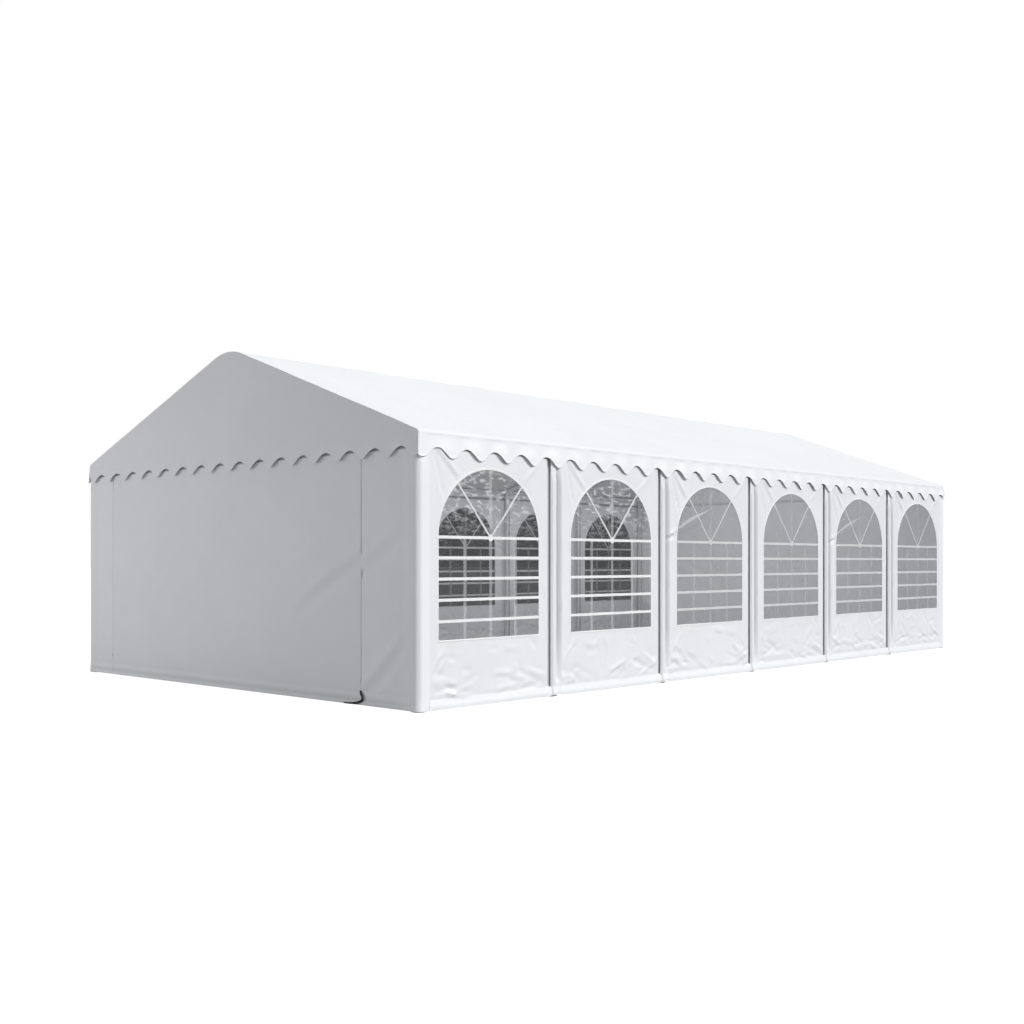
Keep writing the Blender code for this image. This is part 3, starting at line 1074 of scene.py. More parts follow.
@dataclass
class Valance:
    """The scalloped edge that hangs from a long eave, with a welded hem."""

    plan: TentPlan
    side: Side
    flutter: float = 0.0175
    rest: float = 0.0060
    hem: float = 0.010
    hem_proud: float = 0.0018
    cell: float = 0.022

    def at_corner(self, u: float) -> float:
        """1 at the tent's corners, where the valance meets the gable sheet, and 0 elsewhere."""
        return 1 - smooth_step(min(u, 2 * self.plan.half_length - u), 0.0, 0.11)

    def relief(self, u: float, v: float, depth: float, bottom: float) -> float:
        """How far the valance stands out from the wall plane at a place.

        Args:
            u: A place along the wall.
            v: A height.
            depth: How far the place hangs below the eave.
            bottom: The edge's height there.

        Returns:
            The distance.
        """
        lift = (0.5 + 0.5 * LONG_WAVE.curl(u)) ** 1.3
        loose = smooth_step(depth, 0.01, 0.16)
        seed = 11.0 if self.side is Side.FRONT else 31.0
        swing = self.flutter * lift * (1.0 + 0.55 * noise.noise(Vector((u * 1.3, 0.0, seed))))
        soft = 0.0018 * ripple(u, v * 0.6, seed, 0.21)
        corner = self.at_corner(u)
        free = max(self.rest + swing + soft, self.rest) * loose
        hem = self.hem_proud * smooth_step(self.hem - (v - bottom), -0.002, 0.001)
        return free * (1 - corner) + corner_lean(depth) * corner + hem

    def build(self) -> None:
        """Makes one valance, its rows drawn down to the scalloped edge."""
        plan = self.plan
        length = 2 * plan.half_length
        top = plan.eave_z - 0.0005
        us = graded([0.0, length], self.cell)
        drop = top - LONG_WAVE.low
        hem_share = self.hem / drop
        rows = graded([0.0, hem_share * 0.9, hem_share * 1.1, 1.0], 0.085)
        bm = cloth_grid(us, rows)

        def place(u: float, share: float) -> Vector:
            """Where a place lies, from its share of the way up from the edge."""
            bottom = LONG_WAVE.height(u)
            v = bottom + (top - bottom) * share
            past = corner_lean(top - v) * self.at_corner(u)
            along = u - past if u < length / 2 else u + past
            return Vector((along, -self.relief(u, v, top - v, bottom), v))

        shape(bm, place)
        thicken(bm, FABRIC_T)
        word = self.side.word
        piece = Piece(f"{word}_valance", EDGE_FABRIC, Slot.ROOF, [f"valance_{word}"])
        piece.place(bm, plan.wall_frame(self.side))


@dataclass
class GableSheet:
    """The upright end of the roof cover: the gable triangle with its scalloped edge in one."""

    plan: TentPlan
    side: Side
    cell: float = 0.026
    rows: int = 30
    flutter: float = 0.028
    hem: float = 0.010
    hem_proud: float = 0.0015
    crown_extra: float = 0.06

    def roof_height(self, y: float) -> float:
        """The height of the roof's outer face at a distance y from the middle.

        Args:
            y: The distance from the middle.

        Returns:
            The height, which falls fast beyond the eave.
        """
        plan = self.plan
        bend = plan.bow_radius + plan.skin
        tangent = bend * math.sin(plan.slope)
        if y <= tangent:
            return plan.bow_z + math.sqrt(bend**2 - y**2)
        eave_y = plan.post_y + plan.skin * math.sin(plan.slope)
        if y <= eave_y:
            start = plan.bow_z + bend * math.cos(plan.slope)
            return start - (y - tangent) * math.tan(plan.slope)
        if y < plan.half_width:
            return plan.eave_z + math.sqrt(plan.skin**2 - (y - plan.post_y) ** 2)
        return plan.eave_z - max(y - plan.half_width - corner_lean(0.0), 0.0) / VALANCE_LEAN

    def relief(self, u: float, v: float, bottom: float) -> float:
        """How far the sheet stands out from the gable plane.

        Args:
            u: A place along the wall.
            v: A height.
            bottom: The edge's height there.

        Returns:
            The distance.
        """
        plan = self.plan
        depth = plan.eave_z - v
        loose = smooth_step(depth, 0.03, 0.17)
        seed = 51.0 if self.side is Side.LEFT else 71.0
        lift = 0.56 + 0.44 * GABLE_WAVE.curl(u)
        swing = self.flutter * lift * (1.0 + 0.5 * noise.noise(Vector((u * 1.9, 0.0, seed))))
        soft = 0.0022 * ripple(u, v, seed, 0.6)
        edge = smooth_step(self.roof_height(abs(u - plan.half_width)) - v, 0.0, 0.12)
        ends = smooth_step(min(u, 2 * plan.half_width - u), 0.0, 0.09)
        hem = self.hem_proud * smooth_step(self.hem - (v - bottom), -0.002, 0.001)
        return corner_lean(depth) + swing * ends * loose + soft * edge * ends + hem

    def build(self) -> None:
        """Makes one gable sheet."""
        plan = self.plan
        lean = corner_lean(plan.eave_z - GABLE_WAVE.low)
        width = 2 * plan.half_width
        eave = plan.half_width - plan.post_y
        stops = [-lean, 0.0, eave / 2, eave, plan.half_width]
        stops += [width - u for u in reversed(stops[:-1])]
        us = graded(stops, self.cell)
        shares = [0.0, 0.012, 0.02] + graded([0.02, 0.30, 1.0], 1.0 / self.rows)[1:]
        bm = cloth_grid(us, shares)

        def place(u: float, share: float) -> Vector:
            """Where a place lies, from its share of the way up from the edge."""
            bottom = GABLE_WAVE.height(self.from_front(u))
            top = self.roof_height(abs(u - plan.half_width))
            v = bottom + max(top - bottom, 0.002) * share
            return Vector((u, -self.relief(self.from_front(u), v, bottom), v))

        shape(bm, place)
        write_cloth_map(bm)
        thicken(bm, FABRIC_T)
        word = self.side.word
        piece = Piece(f"{word}_gable_cloth", GABLE_FABRIC, Slot.ROOF, [f"gable_sheet_{word}"])
        piece.place(bm, plan.wall_frame(self.side))

    def from_front(self, u: float) -> float:
        """The distance from the front corner on the left gable, or from its twin on the right."""
        return 2 * self.plan.half_width - u


@dataclass
class WallPanel:
    """One bay's wall sheet: a window opening, a raised strip over a post, and a hem."""

    plan: TentPlan
    arch: WindowArch
    side: Side
    number: int
    cell: float = 0.025
    strip_proud: float = 0.016
    strip_edge: float = -0.002
    groove: float = 0.040
    tuck: float = 0.030
    hem: float = 0.100
    hem_proud: float = 0.015
    slot_width: float = 0.014
    slot_extra: float = 0.005
    tape_width: float = 0.050

    def __post_init__(self) -> None:
        """Finds the panel's ends in its bay from the front wall's node, and draws its folds."""
        low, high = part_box(f"wall_panel_front_{self.number}")
        offset = self.plan.half_length - (self.number - 1) * self.plan.bay
        self.left = low.x + offset
        self.right = high.x + offset
        self.has_strip = self.left < 0
        if self.has_strip:
            self.left += self.slot_extra
        if self.meets_post:
            self.right -= self.slot_extra
        self.seed = self.number * 17 + (0 if self.side is Side.FRONT else 400)
        self.folds = self.draw_folds()

    def draw_folds(self) -> list[Fold]:
        """The folds that every panel has, and small ones of its own.

        Returns:
            All folds.
        """
        arch, draw = self.arch, random.Random(self.seed)

        def shift(spread: float = 0.05) -> float:
            """A small random change."""
            return draw.uniform(-spread, spread)

        folds = [
            Fold((0.16 + shift(), 2.56), (0.66 + shift(), 2.02 + shift()),
                 0.016, 0.020, shift(0.03)),
            Fold((0.14 + shift(), 2.50), (0.36 + shift(), 1.78 + shift()),
                 -0.013, 0.018, shift(0.03)),
            Fold((1.86 + shift(), 2.52), (1.45 + shift(), 2.16 + shift()),
                 0.009, 0.020, shift(0.03)),
            Fold((0.14 + shift(0.02), 0.34 + shift()), (0.34 + shift(), 0.60 + shift(0.03)),
                 0.010, 0.018),
            Fold((0.10, 0.16 + shift(0.03)), (0.52 + shift(), 0.24 + shift(0.03)), -0.009, 0.018),
            Fold((1.90, 0.20 + shift(0.03)), (1.50 + shift(), 0.36 + shift()), 0.010, 0.020),
            Fold((1.88, 0.12 + shift(0.02)), (1.30 + shift(0.1), 0.30 + shift()), -0.007, 0.022),
            Fold((0.06, 0.92 + shift(0.2)), (0.21, 1.25 + shift(0.2)), 0.007, 0.019),
            Fold((1.80, 1.15 + shift(0.2)), (1.90, 0.75 + shift(0.2)), 0.007, 0.019),
        ]
        if self.number % 2 == 1 and self.number > 1:
            folds.append(Fold((0.02, 1.69), (0.50, 1.90), 0.024, 0.018, 0.01))
            folds.append(Fold((0.04, 1.64), (0.48, 1.84), -0.016, 0.018, 0.01))

        def low_spot(pick: random.Random) -> Point:
            """A place near the foot."""
            return pick.uniform(0.12, 1.88), pick.uniform(0.11, 0.30)

        def mid_spot(pick: random.Random) -> Point:
            """A place under the window."""
            return pick.uniform(0.15, 1.85), pick.uniform(0.30, arch.sill - 0.05)

        folds += random_folds(self.seed + 1, 14, low_spot, (-35, 35), (0.12, 0.42), 0.013)
        folds += random_folds(self.seed + 2, 12, mid_spot, (-60, 60), (0.08, 0.30), 0.009)
        return folds

    def strip_relief(self, u: float, v: float) -> float:
        """The raised strip over the post, the groove beside it and the ridge that widens below.

        Args:
            u: A place along the wall.
            v: A height.

        Returns:
            How far they stand out, negative in the groove.
        """
        if not self.has_strip or u > 0.30:
            return 0.0
        edge = self.strip_edge
        tucked = 1 - 0.75 * smooth_step(v, 2.22, 2.38) - 0.25 * smooth_step(v, 2.43, 2.50)
        low = smooth_step(0.75 - v, 0.0, 0.65)
        ridge = (0.011 + 0.005 * low) * bump(u, 0.098 - 0.006 * low, 0.024 + 0.016 * low)
        if u < edge:
            body = smooth_step((u - self.left) / (edge - self.left), 0.0, 0.30)
            return (self.strip_proud + 0.006) * body * tucked - 0.006 * tucked
        fall = 1 - smooth_step(u, edge, edge + 0.030)
        deep = self.groove * (1 - 0.45 * low) * smooth_step(v, 0.11, 0.20)
        hollow = -deep * smooth_step(u, edge + 0.006, 0.048) * (1 - smooth_step(u, 0.048, 0.110))
        return (self.strip_proud * fall + hollow + ridge) * tucked

    def hem_relief(self, v: float) -> float:
        """The doubled hem at the foot, pushed out by the ground bar behind it."""
        line = -0.0040 * bump(v, self.hem + 0.010, 0.009)
        return line + self.hem_proud * smooth_step(self.hem + 0.004 - v, 0.0, 0.072)

    def relief(self, u: float, v: float) -> float:
        """How far the panel's face stands out from the wall plane.

        Args:
            u: A place along the wall.
            v: A height.

        Returns:
            The distance.
        """
        free = smooth_step(self.arch.distance(u, v), 0.012, 0.085)
        ends = smooth_step(u, self.left, self.left + 0.10) * smooth_step(self.right - u, 0.0, 0.10)
        flat = smooth_step(self.plan.wall_top - v, 0.0, 0.12)
        low = smooth_step(v, self.hem * 0.9, self.hem * 1.3)
        fine = 0.0026 * ripple(u, v, self.seed, 0.34) + 0.0011 * ripple(u, v, self.seed + 5, 0.10)
        folds = sum(fold.relief(u, v) for fold in self.folds) * (0.25 + 0.75 * low)
        wavy = 0.0016 * noise.noise(Vector((u * 4.0, v * 7.0, self.seed))) * (1 - low)
        soft = (fine + folds + wavy) * free * ends * flat
        tucked = self.tucked_in(u) * low if self.meets_post else 0.0
        return soft + self.strip_relief(u, v) + self.hem_relief(v) - tucked

    def tucked_in(self, u: float) -> float:
        """How far the right edge turns in at the post."""
        return self.tuck * smooth_step(u, self.right - 0.038, self.right + 0.010)

    @property
    def meets_post(self) -> bool:
        """True where the panel's right end stops at the slot beside the next strip."""
        return self.right > self.plan.bay - 0.11

    def fitted(self, u: float, v: float) -> Point:
        """Where a flat place ends up: the hem runs past the slot and clears the feet.

        Args:
            u: A place along the wall.
            v: A height.

        Returns:
            The place along the wall and the height.
        """
        if self.meets_post:
            past = smooth_step(self.hem + 0.012 - v, 0.0, 0.014)
            reach = self.slot_width + 2 * self.slot_extra + 0.004
            u += reach * past * smooth_step(u, self.right - 0.021, self.right)
        near = bump(u, 0.020, 0.085) if self.has_strip else 0.0
        if self.meets_post:
            near += bump(u, self.plan.bay + 0.02, 0.085)
        return u, v + 0.016 * near * smooth_step(0.06 - v, 0.0, 0.052)

    def slot_tape(self) -> Shape:
        """The fastening tape behind the slot, from the edge to under the next strip; its grey is
        painted shade that keeps the slot dark.

        Returns:
            The tape as a bmesh.
        """
        us = graded([self.right - 0.002, self.right + self.tape_width], 0.009)
        vs = graded([self.hem + 0.004, self.hem + 0.054, self.plan.wall_top - 0.004], 0.025)
        bm = cloth_grid(us, vs)
        deep = self.tucked_in(self.right) + 0.003

        def relief(u: float, v: float) -> float:
            """The tape starts behind the panel's edge and rises towards the strip."""
            return 0.012 * smooth_step(u, self.right, self.right + self.tape_width) - deep

        raise_relief(bm, relief)
        thicken(bm, FABRIC_T)
        return bm

    def build(self) -> None:
        """Makes the panel, its opening and its thickness, and the tape behind its slot."""
        plan, arch = self.plan, self.arch
        if self.has_strip:
            left = graded([self.left, -0.0021, -0.0019, 0.010, 0.06], 0.008)
            left += graded([0.06, 0.12], 0.015)[1:]
        else:
            left = graded([self.left, self.left + 0.02], 0.01)
        right_start = self.right - 0.02
        us = left[:-1] + graded([left[-1], *arch.sides, right_start], self.cell)
        us += graded([right_start, self.right], 0.005)[1:]
        vs = graded([plan.wall_bottom, self.hem - 0.006, self.hem + 0.014], 0.010)
        vs += graded([self.hem + 0.014, arch.sill, arch.spring, plan.wall_top], self.cell)[1:]
        bm = cloth_grid(us, vs)
        arch.cut_arch(bm, keep_inside=False, cell=self.cell)

        def place(u: float, v: float) -> Vector:
            """Where a flat place lies on the wall."""
            over, up = self.fitted(u, v)
            return Vector((over, -self.relief(u, v), up))

        shape(bm, place)
        thicken(bm, FABRIC_T)
        word, number = self.side.word, self.number
        spot = plan.bay_frame(self.side, number)
        node = f"wall_panel_{word}_{number}"
        piece = Piece(f"{word}_wall_{number}", WALL_FABRIC, Slot.WALL, [node]).place(bm, spot)
        if self.meets_post:
            # The tape behind the slot is grey as painted shade in the slot.
            tape = Piece(f"{word}_slot_tape_{number}", SLOT_SHADE_TAPE, Slot.WALL)
            tape.place(self.slot_tape(), spot)


@dataclass
class Window:
    """The clear film of one window, with its welded bars, spokes and edge trim."""

    plan: TentPlan
    arch: WindowArch
    side: Side
    number: int
    cell: float = 0.034
    bar_width: float = 0.029
    spoke_width: float = 0.022
    thin_width: float = 0.042
    bar_depth: float = 0.0022
    film_inward: float = 0.0014
    clear_windows: int = 2
    levels: tuple[float, ...] = (0.839, 1.042, 1.243, 1.445)
    spoke_lean: float = math.radians(48)
    hub_radius: float = 0.034
    crease_line: tuple[Point, Point] = ((0.275, 1.795), (0.99, 2.040))
    crease_width: float = 0.052
    crease_bow: float = 0.018

    def __post_init__(self) -> None:
        """Draws the film's own folds."""
        self.seed = self.number * 23 + (3 if self.side is Side.FRONT else 503)
        arch = self.arch

        def spot(pick: random.Random) -> Point:
            """A place on the film."""
            return pick.uniform(0.4, 1.6), pick.uniform(arch.sill + 0.1, arch.top - 0.15)

        self.folds = random_folds(self.seed, 14, spot, (-70, 70), (0.15, 0.6), 0.0035)
        if self.number % 2 == 1:
            self.folds.append(Fold((0.20, 1.76), (1.10, 2.06), 0.012, 0.022, 0.05))
            self.folds.append(Fold((0.90, 1.80), (1.55, 1.55), -0.006, 0.02, -0.03))

    def relief(self, u: float, v: float) -> float:
        """How far the film stands out from its plane: it lies flat along its welded edge."""
        free = smooth_step(-self.arch.distance(u, v), 0.0, 0.10)
        soft = 0.0030 * ripple(u, v, self.seed, 0.16) + 0.0035 * ripple(u, v, self.seed + 7, 0.55)
        return free * (soft + sum(fold.relief(u, v) for fold in self.folds))

    def film(self) -> Shape:
        """The sheet of film.

        Returns:
            The film as a bmesh.
        """
        arch = self.arch
        left, right = arch.sides
        us = graded([left, arch.centre, right], self.cell)
        bm = cloth_grid(us, graded([arch.sill, arch.spring, arch.top], self.cell))
        arch.cut_arch(bm, keep_inside=True, cell=self.cell)
        raise_relief(bm, self.relief, self.film_inward)
        thicken(bm, FILM_T)
        return bm

    def strip(self, start: Point, end: Point, off: Callable[[float, float], float],
              proud: float, depth: float) -> Shape:
        """A thin strip that follows the film from one place to another.

        Args:
            start: Where its middle line starts.
            end: Where it ends.
            off: Its sideways distance from that line, from a share of the length and a place
                across it from -0.5 to 0.5.
            proud: How far its face stands out from the film.
            depth: Its thickness.

        Returns:
            The strip as a bmesh.
        """
        length = math.dist(start, end)
        step_u, step_v = (end[0] - start[0]) / length, (end[1] - start[1]) / length
        bm = cloth_grid(graded([0.0, length], 0.03), [-0.5, 0.0, 0.5])

        def place(along: float, across: float) -> Vector:
            """Where a place of the strip lies on the film."""
            aside = off(along / length, across)
            u = start[0] + along * step_u - aside * step_v
            v = start[1] + along * step_v + aside * step_u
            return Vector((u, self.film_inward - self.relief(u, v) - proud, v))

        shape(bm, place)
        thicken(bm, depth)
        return bm

    def welded(self, lines: Sequence[tuple[Point, Point]], width: float,
               proud: float) -> Shape:
        """Straight welded bars of one width along some lines.

        Args:
            lines: The two ends of each bar's middle line.
            width: Their width.
            proud: How far their faces stand out from the film.

        Returns:
            The bars as one bmesh.
        """
        bm = bmesh.new()
        for start, end in lines:
            bar = self.strip(start, end, lambda _, across: across * width, proud, self.bar_depth)
            join_into(bm, bar)
        return bm

    def uprights(self) -> Shape:
        """The thin upright bars and the upright spoke, pressed into the film."""
        arch = self.arch
        places = [(-0.5, arch.spring), (0.0, arch.top), (0.5, arch.spring)]
        ends = [(arch.centre + arch.half * share, top) for share, top in places]
        lines = [((u, arch.sill), (u, top)) for u, top in ends]
        return self.welded(lines, self.thin_width, 0.0014)

    def spokes(self) -> Shape:
        """The two leaning spokes of the arch."""
        arch, hub = self.arch, self.arch.hub
        leans = (self.spoke_lean, math.pi - self.spoke_lean)
        tips = [arch.on_arch(hub[0] + math.cos(lean), hub[1] + math.sin(lean)) for lean in leans]
        return self.welded([(hub, tip) for tip in tips], self.spoke_width, 0.0026)

    def crease(self) -> Shape:
        """A milky strip along the fold that runs from the arch's left edge into the film: a
        painted highlight of the fold.

        Returns:
            The fold as a bmesh.
        """

        def off(share: float, across: float) -> float:
            """The fold's outline: it swells in the middle, tapers and bows a little."""
            swell = math.sin(math.pi * share)
            width = self.crease_width * (0.25 + 0.75 * swell) * (1.15 - 0.7 * share)
            return across * width + self.crease_bow * swell

        return self.strip(*self.crease_line, off, 0.0012, 0.0008)

    def bars(self) -> Shape:
        """The cross bars, and the small disc at the hub of the spokes.

        Returns:
            Both as one bmesh.
        """
        left, right = self.arch.sides
        levels = (*self.levels, self.arch.spring)
        lines = [((left, level), (right, level)) for level in levels]
        bm = self.welded(lines, self.bar_width, 0.0030)
        u, v = self.arch.hub
        disc = bmesh.new()
        bmesh.ops.create_circle(disc, cap_ends=True, segments=20, radius=self.hub_radius)
        move(disc, Matrix.Rotation(math.pi / 2, 4, "X"))
        thicken(disc, self.bar_depth + 0.001)
        rise = self.film_inward - self.relief(u, v) - 0.0036
        move(disc, Matrix.Translation((u, rise, v)))
        join_into(bm, disc)
        return bm

    def trim(self) -> Shape:
        """The welded edge round the window, over the joint of film and fabric.

        Returns:
            The edge as a bmesh.
        """
        outer = self.arch.outline(-0.011, 0.03)
        count = len(outer)
        inner = self.arch.outline(0.009, 0.03)
        inner = [inner[round(step * len(inner) / count) % len(inner)] for step in range(count)]
        bm = cloth_grid([float(step) for step in range(count + 1)], [0.0, 0.08, 0.5, 0.92, 1.0])

        def place(along: float, across: float) -> Vector:
            """Where a place of the trim lies, between its inner and outer lines."""
            step = round(along) % count
            u = inner[step][0] + (outer[step][0] - inner[step][0]) * across
            v = inner[step][1] + (outer[step][1] - inner[step][1]) * across
            crown = 0.0022 * min(1.0, 6 * min(across, 1 - across) + 0.45)
            return Vector((u, -crown, v))

        shape(bm, place)
        bmesh.ops.remove_doubles(bm, verts=bm.verts[:], dist=1e-5)
        bmesh.ops.reverse_faces(bm, faces=bm.faces[:])
        thicken(bm, 0.0016)
        return bm

    def build(self) -> None:
        """Makes the film and what is welded to it."""
        arch, word, number = self.arch, self.side.word, self.number
        clear = number <= self.clear_windows or self.side is Side.BACK
        skin, weld, spoke = (
            (CLEAR_FILM, WELD_WHITE, SPOKE_CLEAR) if clear else (HAZY_FILM, WELD_SOFT, SPOKE_HAZY)
        )
        rows = [
            ("film", skin, Slot.FILM, self.film()),
            ("bars", weld, Slot.WALL, self.bars()),
            ("spokes", spoke, Slot.WALL, self.spokes()),
            ("uprights", WELD_FAINT, Slot.FILM, self.uprights()),
            ("trim", WELD_WHITE, Slot.WALL, self.trim()),
        ]
        # Odd hazy windows get a painted highlight strip along their big fold.
        if not clear and number % 2 == 1:
            rows.append(("crease", FOLD_GLINT_STRIP, Slot.FILM, self.crease()))
        for part, finish, slot, bm in rows:
            nodes = [f"window_film_{word}_{number}"] if part == "film" else []
            piece = Piece(f"{word}_window_{part}_{number}", finish, slot, nodes)
            piece.place(bm, self.plan.bay_frame(self.side, number))
        arch.area


@dataclass
class SideLeaf:
    """A gable's fixed leaf, which wraps the corner post on to the long wall."""

    plan: TentPlan
    side: Side
    number: int
    gable_leg: float
    wrap_leg: float = 0.150
    seam: float = 0.174
    proud: float = 0.009
    round_in: float = 0.006
    cell: float = 0.032

    def __post_init__(self) -> None:
        """Draws the leaf's folds, in distance from the corner and height."""
        near = self.number == 1
        self.seed = 61.0 + 10 * self.number + (0 if self.side is Side.LEFT else 5)
        self.folds = [
            Fold((0.16, 1.83), (0.95, 1.33), 0.014, 0.044, 0.02),
            Fold((0.16, 1.66), (0.90, 1.22), -0.012, 0.044, 0.02),
            Fold((0.15, 0.78), (0.86, 0.12), 0.016, 0.044, 0.02),
            Fold((0.16, 0.60), (0.70, 0.10), -0.012, 0.044, 0.02),
        ] if near else [
            Fold((0.14, 2.30), (0.50, 1.90), 0.003, 0.040, 0.02),
            Fold((0.14, 0.55), (0.52, 0.20), -0.003, 0.040, 0.01),
        ]

    def corner(self, run: float) -> tuple[float, float, float]:
        """The leaf's line round the corner, seen from above.

        Args:
            run: Distance along the sheet from the corner's middle, positive on the gable.

        Returns:
            The distances from the corner along the gable and along the long wall, and the
            outward angle, which is 0 where the sheet faces out of the gable.
        """
        radius = self.plan.skin
        arc = radius * math.pi / 4
        if run > arc:
            return radius + run - arc, 0.0, 0.0
        if run < -arc:
            return 0.0, radius - run - arc, math.pi / 2
        angle = math.pi / 4 - run / radius
        return radius * (1 - math.sin(angle)), radius * (1 - math.cos(angle)), angle

    def relief(self, run: float, v: float) -> float:
        """How far the leaf stands out from its line.

        Args:
            run: The distance along the sheet from the corner's middle.
            v: A height.

        Returns:
            The distance.
        """
        hem = foot_relief(v)
        gable = smooth_step(run, 0.05, 0.14)
        edge = smooth_step(self.gable_leg - run, 0.0, 0.03)
        folds = sum(fold.relief(run, v) for fold in self.folds) * gable
        soft = 0.0015 * ripple(run, v, self.seed, 0.5) * gable
        seam = -0.0022 * smooth_step(run, self.seam - 0.001, self.seam + 0.003)
        curl = 0.008 * bump(run, 0.0, 0.05) * smooth_step(0.14 - v, 0.0, 0.14)
        free = 1 - 0.8 * smooth_step(v, 2.30, 2.42)
        cover = self.proud * min(max((self.seam - run) / 0.130, 0.0), 1.0)
        cover *= 1 - smooth_step(-run, 0.080, 0.130)
        cover -= self.round_in * bump(run, 0.0, 0.022)
        body = smooth_step(v, 0.05, 0.16) * edge
        return (folds + soft) * body + seam + hem * gable + curl + cover * free

    def build(self) -> None:
        """Makes one side leaf."""
        plan = self.plan
        arc = plan.skin * math.pi / 4
        long_end = -(self.wrap_leg - plan.skin + arc)
        gable_end = self.gable_leg - plan.skin + arc
        stops = [long_end, -arc, arc, self.seam - 0.004, self.seam + 0.006, gable_end]
        us = graded(stops[:2], 0.016) + graded(stops[1:3], 0.006)[1:]
        us += graded(stops[2:], self.cell)[1:]
        vs = graded([plan.wall_bottom, 0.16], 0.010) + graded([0.16, plan.wall_top], self.cell)[1:]
        bm = cloth_grid(us, vs)
        half = plan.half_width
        front = self.number == 1

        def place(run: float, v: float) -> Vector:
            """Where a flat place lies round the corner."""
            along_gable, along_wall, angle = self.corner(run)
            off = self.relief(run, v)
            x = -plan.half_length + along_wall - off * math.cos(angle)
            y = half - along_gable + off * math.sin(angle)
            return Vector((x, -y if front else y, v))

        shape(bm, place)
        face_out(bm)
        thicken(bm, FABRIC_T)
        word, number = self.side.word, self.number
        node = f"gable_side_leaf_{word}_{number}"
        piece = Piece(f"{word}_side_leaf_{number}", LEAF_FABRIC, Slot.WALL, [node])
        spot = Matrix.Rotation(math.pi, 4, "Z") if self.side is Side.RIGHT else None
        piece.place(bm, spot)


def face_out(bm: Shape) -> None:
    """Turns all faces of an open sheet over if they look at the middle of the tent."""
    bm.normal_update()
    if sum(face.normal.xy.dot(face.calc_center_median().xy) for face in bm.faces) < 0:
        bmesh.ops.reverse_faces(bm, faces=bm.faces[:])


def foot_relief(v: float) -> float:
    """The foot of a gable wall: its hem lies over the ground bar, between two hollows."""
    ridges = 0.0045 * bump(v, 0.092, 0.024) + 0.002 * bump(v, 0.015, 0.016)
    return ridges - 0.0015 * bump(v, 0.140, 0.014) - 0.0035 * bump(v, 0.045, 0.012)


@dataclass
class DoorLeaf:
    """The wide middle leaf of a gable wall, held by an upright zip at each side."""

    plan: TentPlan
    side: Side
    cell: float = 0.040

    def __post_init__(self) -> None:
        """Reads the leaf's ends from the left gable's node, and draws its folds."""
        low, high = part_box("gable_door_leaf_left")
        self.start = self.plan.half_width - high.y
        self.end = self.plan.half_width - low.y
        self.seed = 90.0 if self.side is Side.LEFT else 97.0
        self.folds = [
            Fold((4.05, 0.88), (5.45, 1.62), 0.016, 0.050, -0.05),
            Fold((4.10, 0.78), (5.45, 1.47), -0.014, 0.050, -0.05),
            Fold((0.62, 1.86), (2.60, 0.80), 0.014, 0.050, 0.04),
            Fold((1.80, 1.10), (2.75, 0.62), -0.009, 0.050, 0.02),
            Fold((3.30, 2.20), (4.90, 1.95), 0.002, 0.070, 0.03),
            Fold((2.40, 0.40), (3.60, 0.25), 0.002, 0.050, 0.02),
        ]

    def relief(self, u: float, v: float) -> float:
        """How far the leaf stands out from the gable plane.

        Args:
            u: A place along the wall.
            v: A height.

        Returns:
            The distance.
        """
        plan = self.plan
        flat = smooth_step(plan.wall_top - v, 0.0, 0.15)
        zips = smooth_step(u - self.start, 0.0, 0.05) * smooth_step(self.end - u, 0.0, 0.05)
        body = smooth_step(v, 0.06, 0.18)
        soft = 0.0045 * ripple(u, v, self.seed, 1.1) + 0.0009 * ripple(u, v, self.seed + 3, 0.3)
        folds = sum(fold.relief(u, v) for fold in self.folds)
        return (soft * zips + folds) * flat * body + foot_relief(v)

    def build(self) -> None:
        """Makes one door leaf."""
        plan = self.plan
        us = graded([self.start, self.end], self.cell)
        vs = graded([plan.wall_bottom, 0.16], 0.010) + graded([0.16, plan.wall_top], self.cell)[1:]
        bm = cloth_grid(us, vs)
        raise_relief(bm, self.relief)
        thicken(bm, FABRIC_T)
        word = self.side.word
        node = f"gable_door_leaf_{word}"
        piece = Piece(f"{word}_door_leaf", DOOR_FABRIC, Slot.WALL, [node])
        piece.place(bm, plan.wall_frame(self.side))


